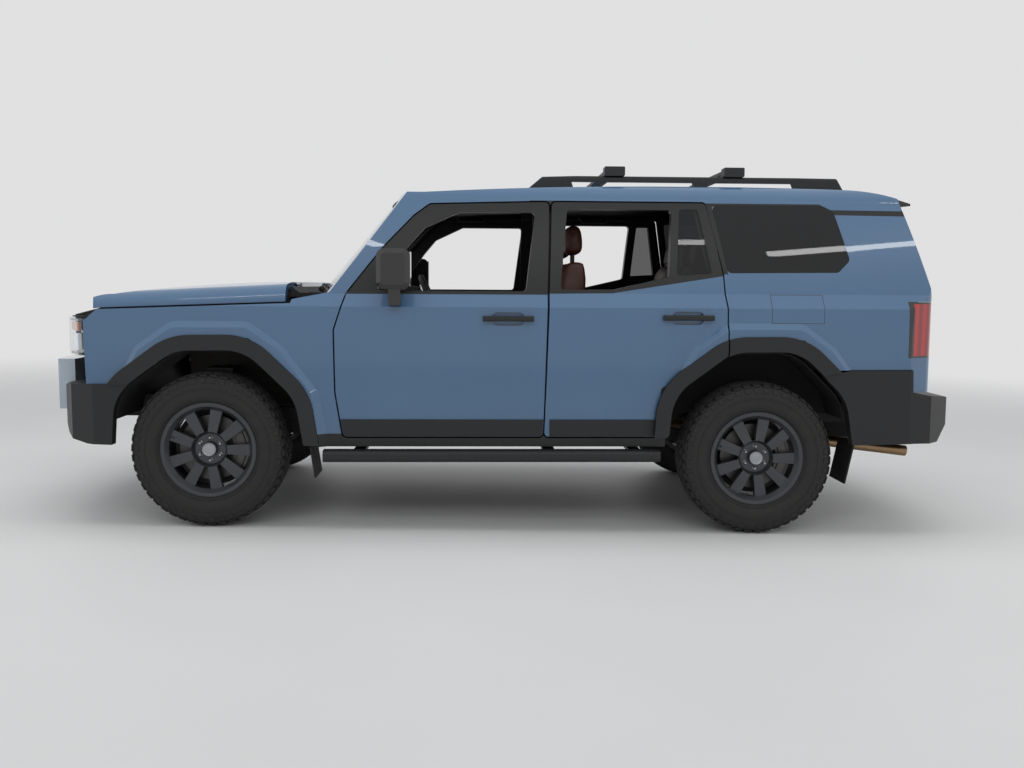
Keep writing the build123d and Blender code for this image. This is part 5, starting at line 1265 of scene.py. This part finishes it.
@dataclass
class Nose:
    """Mesh behind the grille bars, engine bay panels, bumper pod details, cowl vents and wipers."""

    grille_half: float = 532.0
    slat_pitch: float = 22.0
    mesh_rows: int = 9
    vents: int = 26
    lock_half: float = 760.0
    slot_heights: Point3 = (632.0, 662.0, 692.0)
    slot_height: float = 18.0
    fog_y: float = 520.0
    fog_z: float = 700.0
    screen_half: float = 893.0
    screen_foot: Point2 = (FX - 625, 1213.0)
    screen_run: Point2 = (-373.0, 454.0)

    def build(self) -> None:
        """Make the pieces round the nose and the screen's foot."""
        mesh = Shape()
        half = self.grille_half
        for index in range(int(2 * half / self.slat_pitch) + 1):
            y = -half + index * self.slat_pitch
            mesh.block((NOSE_X - 88, y - 2.5, 888), (NOSE_X - 78, y + 2.5, 1056))
        for row in range(self.mesh_rows):
            z = 892 + row * 20
            mesh.block((NOSE_X - 90, -half, z - 2.5), (NOSE_X - 80, half, z + 2.5))
        mesh.piece("grille_mesh", "body", "gloss_black_abs", "gloss_black", smooth=False)
        vents = Shape()
        for index in range(self.vents):
            y = -650 + index * 52
            vents.block((COWL_X - 200, y, 1207), (COWL_X - 84, y + 34, 1212))
        vents.bevel(1.5, 1)
        vents.piece("cowl_vents", "body", "black_seal_rubber", "black_trim")
        self.build_aprons()
        self.build_top_panel()
        self.build_pod_details()
        self.build_wipers()

    def build_aprons(self) -> None:
        """Inner wings under the hood, which close the view through the engine bay."""
        aprons = Shape()
        rear, front = COWL_X - 10, FX + 694
        outline = [(rear, 930), (front, 930), (front, 1090), (FX + 470, 1150), (FX + 60, 1196), (rear, 1212)]
        aprons.prism(outline, View.SIDE, 800, 806)
        aprons.bevel(1.5, 1)
        aprons.mirrored()
        aprons.piece("inner_wings", "body", "black_chassis_paint", "chassis")

    def build_top_panel(self) -> None:
        """The black lock panel over the grille and the lamps, which the hood closes on."""
        panel = Shape()
        half = self.lock_half
        front = [(NOSE_X - 18 - 55 * (y / half) ** 2, y) for y in spaced(-half, half, 16)]
        outline = [(FX + 560, -880), (FX + 660, -880), *front, (FX + 660, 880), (FX + 560, 880)]
        panel.prism(outline, View.PLAN, 1077, 1083)
        panel.bevel(2.0, 1)
        panel.piece("lock_panel", "body", "satin_black_polypropylene", "black_trim")

    def pod_x(self, y: float) -> float:
        """Where the bumper pod's front face lies at a place across."""
        return FRONT_X + 0.01696 * abs(y) - 1.7994e-4 * y * y

    def build_pod_details(self) -> None:
        """The intake slots and the fog lamps of the bumper pod."""
        slots = Shape()
        front = [(self.pod_x(y) + 2.0, y) for y in spaced(-400, 400, 20)]
        rear = [(x - 8, y) for x, y in reversed(front)]
        for z in self.slot_heights:
            slots.prism(front + rear, View.PLAN, z, z + self.slot_height)
        slots.piece("pod_intake_slots", "body", "gloss_black_abs", "gloss_black")
        ring, glass = Shape(), Shape()
        for sign in (-1, 1):
            y = sign * self.fog_y
            face = (self.pod_x(y), y, self.fog_z)
            out = Vector((1.0, sign * 0.16, 0.0))
            ring.turned([(-12, 40), (-12, 62), (4, 62), (8, 56), (8, 50), (2, 44), (2, 40)], face, out, 40)
            glass.turned([(-10, 0), (-10, 42), (2, 42), (6, 24), (7.5, 0)], face, out, 40)
        ring.piece("fog_lamp_rings", "body", "gloss_black_abs", "gloss_black")
        glass.piece("fog_lamp_lenses", "body", "white_lens", "lamp_clear")

    def screen_point(self, y: float, above: float, out: float) -> Point3:
        """A point off the bent windscreen.

        Args:
            y: its place across.
            above: distance up the glass from its lower edge.
            out: distance off the glass.

        Returns:
            The point in the level body frame.
        """
        rise = (self.screen_half ** 2 - y * y) / 8000
        up = Vector(self.screen_run).normalized()
        off = Vector((up.y, -up.x))
        climb = above - (off.y * rise) / up.y
        place = Vector(self.screen_foot) + up * climb + off * (rise + out)
        return (place.x, y, place.y)

    def build_wipers(self) -> None:
        """Two arms parked along the foot of the screen, each with its blade and pivot."""
        wipers = Shape()
        for pivot, start, stop in ((560.0, 660.0, 90.0), (-120.0, -40.0, -560.0)):
            wipers.tube([self.screen_point(y, 34, 9) for y in spaced(start, stop, 8)], 5.5, 8)
            hub = self.screen_point(pivot, 6, 14)
            arm = self.screen_point((start + stop) / 2, 36, 19)
            wipers.tube([hub, tuple((Vector(hub) + Vector(arm)) / 2 + Vector((0, 0, 7))), arm], 7.0, 8)
            wipers.turned([(-18, 0), (-18, 15), (10, 14), (15, 8), (15, 0)], hub, Vector((0.77, 0, 0.64)), 16)
        wipers.piece("wipers", "body", "black_seal_rubber", "black_trim")


@dataclass
class DoorDetails:
    """Mirror glass, turn lamps, armrests, pulls and the seals of the door openings."""

    # the body's section above the shoulder: height and half width
    widths: tuple[Point2, ...] = ((1140, 944), (1214, 893), (1452, 839), (1692, 757))
    seal_depth: float = 72.0
    seal_radius: float = 11.0
    mirror_back_x: float = FX - 968 - 84
    seal_routes: tuple[tuple[Point2, ...], ...] = (
        ((FX - 718, 1212), (FX - 905, 1447), (FX - 1060, 1612), (FX - 1140, 1674), (SPLIT_X - 24, 1692),
         (RX + 262, 1692), (RX + 184, 1313)),
        ((SPLIT_X - 29, 1690), (SPLIT_X - 3, 1214)),
        ((RX + 246, 1692), (RX + 166, 1308)),
    )

    def half_width(self, z: float) -> float:
        """The body's outer half width at a height above the shoulder."""
        for (low, wide), (high, narrow) in zip(self.widths, self.widths[1:]):
            if z <= high:
                return wide + (narrow - wide) * (z - low) / (high - low)
        return self.widths[-1][1]

    def build_seals(self) -> None:
        """Rubber hose seals round the window frames, just inside the shut lines."""
        seals = Shape()
        for route in self.seal_routes:
            points = [(x, self.half_width(z) - self.seal_depth, z) for x, z in route]
            seals.tube(points, self.seal_radius, 10)
        seals.mirrored()
        seals.piece("door_seals", "body", "black_seal_rubber", "black_trim")

    def build(self) -> None:
        """Make the details of both sides."""
        self.build_seals()
        for side, sign in SIDES:
            self.mirror_glass(side, sign)
            self.card(f"door_front_{side}", sign, FX - 840, SPLIT_X + 120)
            self.card(f"door_rear_{side}", sign, SPLIT_X - 130, RX + 520)

    def mirror_glass(self, side: str, sign: int) -> None:
        """The silvered plate and the turn lamp of one mirror.

        Args:
            side: which mirror.
            sign: 1 on the left, -1 on the right.
        """
        back_x = self.mirror_back_x
        for name, finish, slot, x_span, y_span, z_span, edge in (
            ("mirror_glass", "mirror_silver", "silver", (-1.2, 4), (986, 1074), (1244, 1416), 1.0),
            ("mirror_turn_lamp", "amber_lens", "lamp_clear", (158, 170), (996, 1054), (1322, 1340), 2.0),
        ):
            plate = Shape()
            low, high = sorted(sign * y for y in y_span)
            plate.block((back_x + x_span[0], low, z_span[0]), (back_x + x_span[1], high, z_span[1]))
            plate.bevel(edge)
            plate.piece(f"{name}_{side}", f"door_front_{side}", finish, slot)

    def card(self, body: str, sign: int, front_x: float, rear_x: float) -> None:
        """One armrest with its pull.

        Args:
            body: the door that carries it.
            sign: 1 on the left, -1 on the right.
            front_x, rear_x: the ends of the door's inner card.
        """
        rest = Shape()
        rear = rear_x + 20
        outline = [(rear, 940), (front_x - 120, 940), (front_x - 60, 968), (front_x - 90, 1000), (rear, 1000)]
        rest.prism(outline, View.SIDE, *sorted((sign * 772, sign * 828)))
        rest.bevel(14.0, 3)
        rest.piece(f"armrest_{body}", body, "brown_hide", "leather")
        pull = Shape()
        middle = (front_x + rear_x) / 2
        route = ((110, 824, 1052), (90, 798, 1058), (-60, 798, 1062), (-80, 824, 1058))
        pull.tube([(middle + x, sign * y, z) for x, y, z in route], 9.0, 10)
        pull.piece(f"door_pull_{body}", body, "bare_cap_aluminium", "silver")


@dataclass
class Seats:
    """Leather seats: crowned cushions and backs with bolsters, and head rests on posts.

    Outlines are side views, as (distance ahead of the seat's place, height).
    """

    seat_x: float = FX - 1800
    seat_y: float = 372.0
    half: float = 258.0
    bench_x: float = RX + 360
    bench_half: float = 598.0
    voxel_mm: float = 11.0
    swell_mm: float = 16.0
    pressure: float = 4.0
    frames: int = 16
    fit: float = 0.98
    bolster_fit: float = 0.96
    cushion: tuple[Point2, ...] = ((-50, 806), (520, 832), (532, 880), (505, 934), (250, 908), (0, 904))
    back: tuple[Point2, ...] = (
        (-20, 838), (44, 915), (-20, 1180), (-62, 1392), (-130, 1402), (-188, 1388), (-122, 850),
    )
    rest: tuple[Point2, ...] = ((-70, 1424), (-76, 1520), (-88, 1588), (-160, 1588), (-176, 1500), (-172, 1424))
    bench_cushion: tuple[Point2, ...] = ((20, 852), (480, 852), (500, 880), (492, 930), (260, 912), (60, 904))
    bench_back: tuple[Point2, ...] = (
        (-20, 836), (48, 910), (-40, 1180), (-92, 1382), (-150, 1392), (-208, 1380), (-120, 852),
    )
    bench_rest: tuple[Point2, ...] = ((-112, 1398), (-118, 1470), (-126, 1528), (-194, 1528), (-204, 1400))
    bench_stand: tuple[Point2, ...] = ((190, 577), (400, 577), (400, 856), (-50, 856), (-50, 752), (160, 752))

    def pad(self, shape: Shape, outline: Sequence[Point2], low: float, high: float, crown: float) -> None:
        """Add one stuffed pad: the outline rounded and swollen to the middle of its width.

        Args:
            shape: the mesh it goes to.
            outline: its side view.
            low, high: its two sides.
            crown: how far it is drawn in at its sides.
        """
        centre = Vector(self.middle(outline))
        rounded = self.round_off([Vector(point) for point in outline])
        rings = []
        for share in spaced(-1, 1, 12):
            swell = math.sqrt(max(0.0, 1 - abs(share) ** 6))
            y = (low + high) / 2 + share * (high - low) / 2
            ring = []
            for point in rounded:
                away = point - centre
                pulled = away * (1 - (1 - swell) * min(0.9, 2.2 * crown / away.length))
                ring.append(shape.bm.verts.new((centre.x + pulled.x, y, centre.y + pulled.y)))
            rings.append(ring)
        shape.skin(rings)
        shape.bm.faces.new(rings[0])
        shape.bm.faces.new(rings[-1][::-1])

    def middle(self, outline: Sequence[Point2]) -> Point2:
        """The mean of an outline's points."""
        return tuple(sum(values) / len(outline) for values in zip(*outline))

    def round_off(self, points: list[Vector], near: float = 0.78, far: float = 0.22) -> list[Vector]:
        """Cut the corners of an outline three times, which rounds it.

        Args:
            points: the outline.
            near, far: shares of a point and of the next one in each cut.

        Returns:
            The rounded outline, with eight times the points.
        """
        for _ in range(3):
            cut = []
            for index, point in enumerate(points):
                after = points[(index + 1) % len(points)]
                cut += [point * near + after * far, point * far + after * near]
            points = cut
        return points

    def grown(self, outline: Sequence[Point2], amount: float) -> list[Point2]:
        """An outline scaled about its middle.

        Args:
            outline: its points.
            amount: the scale.

        Returns:
            The new points.
        """
        x, z = self.middle(outline)
        return [(x + (point[0] - x) * amount, z + (point[1] - z) * amount) for point in outline]

    def plump(self, item: bpy.types.Object) -> None:
        """Swell the pads of a seat by a short cloth simulation under pressure.

        The pads are made one closed skin first, and no point may move further than swell_mm.

        Args:
            item: the seat's hides.
        """
        scene = bpy.context.scene
        skin = item.modifiers.new("one_skin", "REMESH")
        skin.mode = "VOXEL"
        skin.voxel_size = self.voxel_mm / 1000
        graph = bpy.context.evaluated_depsgraph_get()
        mesh = bpy.data.meshes.new_from_object(item.evaluated_get(graph))
        item.modifiers.clear()
        item.data = mesh
        rest = [vert.co.copy() for vert in mesh.vertices]
        cloth = item.modifiers.new("stuffing", "CLOTH")
        cloth.settings.quality = 4
        cloth.settings.use_pressure = True
        cloth.settings.uniform_pressure_force = self.pressure
        cloth.settings.effector_weights.gravity = 0.0
        cloth.collision_settings.use_collision = False
        cloth.point_cache.frame_start = 1
        cloth.point_cache.frame_end = self.frames
        for frame in range(1, self.frames + 1):
            scene.frame_set(frame)
        graph = bpy.context.evaluated_depsgraph_get()
        swollen = [vert.co.copy() for vert in item.evaluated_get(graph).data.vertices]
        item.modifiers.clear()
        scene.frame_set(1)
        cap = self.swell_mm / 1000
        for vert, first, last in zip(mesh.vertices, rest, swollen):
            move = last - first
            if move.length > cap:
                move.length = cap
            vert.co = first + move
        mesh.shade_smooth()
        LOG.info("seat %s plumped: %d points", item.name, len(rest))

    def build(self) -> None:
        """Make the front seats and the bench in place of their CAD blocks."""
        self.build_front()
        self.build_bench()

    def build_front(self) -> None:
        """Two bucket seats."""
        x = self.seat_x
        cushion, back, rest = moved(self.cushion, x), moved(self.back, x), moved(self.rest, x)
        lifted = [(px, pz + (34 if pz > 870 else 0)) for px, pz in cushion]
        pushed = [(px + (36 if index in (1, 2) else 0), pz) for index, (px, pz) in enumerate(back)]
        hides = Shape()
        for middle in (-self.seat_y, self.seat_y):
            for outline, half, crown in ((cushion, 175, 26), (back, 165, 30), (rest, 128, 34)):
                self.pad(hides, self.grown(outline, self.fit), middle - half, middle + half, crown)
            for sign in (1, -1):
                low, high = sorted((middle + sign * 168, middle + sign * self.half))
                for outline in (lifted, pushed):
                    self.pad(hides, self.grown(outline, self.bolster_fit), low, high, 44)
        made = hides.piece("front_seat_hides", "body", "brown_hide", "leather")
        self.plump(made)
        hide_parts("front_seats")
        frames = Shape()
        for middle in (-self.seat_y, self.seat_y):
            for y in (middle - 60, middle + 60):
                frames.tube([(x - 125, y, 1376), (x - 125, y, 1440)], 7.0, 12)
                frames.block((x + 60, y - 12, 577), (x + 480, y + 12, 600))
                frames.tube([(x + 90, y, 596), (x + 60, y, 700), (x + 70, y, 812)], 12.0, 10)
                frames.tube([(x + 430, y, 596), (x + 440, y, 700), (x + 420, y, 830)], 12.0, 10)
        frames.piece("front_seat_frames", "body", "black_chassis_paint", "cabin")

    def build_bench(self) -> None:
        """The bench with a split back and three head rests."""
        x = self.bench_x
        cushion, back, rest = (
            self.grown(moved(outline, x), self.fit)
            for outline in (self.bench_cushion, self.bench_back, self.bench_rest)
        )
        hides = Shape()
        third = self.bench_half / 3
        for index in range(3):
            low = -self.bench_half + index * 2 * third
            for outline in (cushion, back):
                self.pad(hides, outline, low + 3, low + 2 * third - 3, 30)
            self.pad(hides, rest, low + third - 122, low + third + 122, 30)
        made = hides.piece("rear_bench_hides", "body", "brown_hide", "leather")
        self.plump(made)
        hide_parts("rear_bench")
        frames = Shape()
        for low, high in ((-560, -240), (240, 560)):
            frames.prism(moved(self.bench_stand, x), View.SIDE, low, high)
        frames.bevel(10.0)
        for middle in (-2 * third, 0, 2 * third):
            for post in (middle - 50, middle + 50):
                frames.tube([(x - 155, post, 1370), (x - 158, post, 1410)], 6.0, 10)
        frames.piece("rear_bench_frame", "body", "soft_touch_dark", "cabin")


@dataclass
class Cabin:
    """What shows through the glass: instruments, display, vents, selector, wheel pad, roof grips and mirror."""

    # name, finish, slot, side outline from the front axle, its two sides, edge rounding and its steps
    dash_parts: tuple[tuple[str, str, str, tuple[Point2, ...], Point2, float, int], ...] = (
        ("instrument_hood", "soft_touch_dark", "cabin",
         ((-1060, 1186), (-1072, 1236), (-1000, 1252), (-900, 1226), (-900, 1204), (-1030, 1190)), (235, 510), 14.0, 3),
        ("display", "display_glass", "gloss_black",
         ((-1062, 1122), (-1074, 1128), (-1054, 1252), (-1042, 1248)), (-150, 150), 4.0, 2),
        ("instruments", "display_glass", "gloss_black",
         ((-1052, 1192), (-1048, 1192), (-1058, 1230), (-1062, 1230)), (255, 490), 1.5, 2),
    )
    vent_middles: tuple[float, ...] = (-640.0, -230.0, 190.0, 640.0)
    column_deg: float = 24.0

    def build(self) -> None:
        """Make the cabin pieces."""
        for name, finish, slot, outline, (low, high), edge, steps in self.dash_parts:
            part = Shape()
            part.prism(moved(outline, FX), View.SIDE, low, high)
            part.bevel(edge, steps)
            part.piece(name, "body", finish, slot)
        vents = Shape()
        for middle in self.vent_middles:
            for row in range(5):
                z = 1120 + row * 12
                vents.block((FX - 1068, middle - 56, z), (FX - 1050, middle + 56, z + 6))
        vents.bevel(1.5, 1)
        vents.piece("dash_vents", "body", "gloss_black_abs", "gloss_black")
        stick = Shape()
        stick.tube([(FX - 1180, 0, 890), (FX - 1190, 0, 960), (FX - 1200, 0, 1010)], 9.0, 12)
        knob = [(0, 0), (0, 18), (20, 24), (40, 22), (50, 10), (50, 0)]
        stick.turned(knob, (FX - 1200, 0, 1000), Vector((-0.1, 0, 1)), 20)
        stick.block((FX - 1420, -70, 896), (FX - 1120, 70, 904))
        stick.piece("selector", "body", "gloss_black_abs", "gloss_black")
        pad = Shape()
        tilt = math.radians(self.column_deg)
        dome = [(-30, 0), (-30, 52), (0, 66), (16, 62), (26, 44), (30, 20), (31, 0)]
        pad.turned(dome, (FX - 1140, 372, 1140), Vector((-math.cos(tilt), 0, math.sin(tilt))), 40)
        pad.piece("wheel_pad", "steering_wheel", "soft_touch_dark", "cabin")
        grips = Shape()
        for x in (FX - 1350, SPLIT_X - 420):
            grips.tube([(x + 95, 640, 1706), (x + 80, 628, 1672), (x - 80, 628, 1672), (x - 95, 640, 1706)], 9.0, 10)
        grips.mirrored()
        grips.piece("roof_grips", "body", "soft_touch_dark", "cabin")
        mirror = Shape()
        mirror.prism([(-125, 1560), (125, 1560), (115, 1628), (-115, 1628)], View.FRONT, FX - 1010, FX - 980)
        mirror.bevel(10.0, 3)
        mirror.tube([(FX - 990, 0, 1600), (FX - 955, 0, 1640), (FX - 975, 0, 1668)], 9.0, 10)
        mirror.piece("cabin_mirror", "body", "gloss_black_abs", "gloss_black")


@dataclass
class Underside:
    """Coil springs and the propeller shaft."""

    wire: float = 8.0
    turns: float = 6.0
    shaft_radius: float = 25.0

    def coil(self, shape: Shape, centre: Point2, radius: float, low: float, high: float) -> None:
        """Add one coil spring.

        Args:
            shape: the mesh it goes to.
            centre: its axis, as (x, y).
            radius: from the axis to the wire's middle.
            low, high: the heights of its ends.
        """
        route = []
        steps = int(self.turns * 20)
        for step, z in enumerate(spaced(low, high, steps)):
            turn = math.tau * self.turns * step / steps
            route.append((centre[0] + radius * math.cos(turn), centre[1] + radius * math.sin(turn), z))
        shape.tube(route, self.wire, 8)

    def build(self) -> None:
        """Make the springs and the shaft."""
        springs = Shape(place=level)
        for sign in (1, -1):
            self.coil(springs, (RX, sign * 565), 66.0, 452.0, 640.0)
            self.coil(springs, (FX, sign * 590), 52.0, 470.0, 752.0)
        springs.piece("coil_springs", "body", "black_chassis_paint", "chassis")
        shaft = Shape()
        route = [(FX - 1302, 0, 602), (RX + 850, 0, 580), (RX + 780, 0, 576), (RX + 190, 0, 448)]
        shaft.tube(route, self.shaft_radius, 20)
        joint = [(-26, 0), (-26, 34), (-10, 40), (10, 40), (26, 34), (26, 0)]
        for x, z in ((FX - 1330, 600.0), (RX + 815, 578.0), (RX + 200, 450.0)):
            shaft.turned(joint, (x, 0, z), Vector((1, 0, 0.06)), 20)
        shaft.piece("propeller_shaft", "body", "cast_grey_iron", "chassis")


@dataclass
class Rear:
    """What the back has: a handle strip and the rear wiper."""

    strip: tuple[Point2, ...] = ((-330, 1080), (330, 1080), (318, 1132), (-318, 1132))
    pivot: tuple[Point2, ...] = ((0, 0), (0, 26), (12, 24), (20, 12), (20, 0))

    def build(self) -> None:
        """Make the pieces of the tailgate."""
        strip = Shape()
        strip.prism(self.strip, View.FRONT, RX - 966, RX - 940)
        strip.bevel(8.0, 3)
        strip.piece("tailgate_handle_strip", "tailgate", "gloss_black_abs", "gloss_black")
        wiper = Shape()
        wiper.turned(self.pivot, (RX - 928, 0, 1226), Vector((-1, 0, 0.25)), 24)
        wiper.tube([(RX - 944, 0, 1232), (RX - 938, 150, 1262), (RX - 932, 330, 1286)], 6.0, 8)
        wiper.tube([(RX - 928, 60, 1284), (RX - 926, 250, 1290), (RX - 922, 440, 1296)], 5.0, 8)
        wiper.piece("rear_wiper", "tailgate", "black_seal_rubber", "black_trim")


def main() -> None:
    """Load the frame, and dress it."""
    logging.basicConfig(level=logging.INFO, format="%(name)s: %(message)s")
    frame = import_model()
    Studio().build()
    PanelDress(frame["nodes"]).build()
    Wheels().build()
    Lamps().build()
    Nose().build()
    DoorDetails().build()
    Seats().build()
    Cabin().build()
    Underside().build()
    Rear().build()


if __name__ == "__main__":
    main()
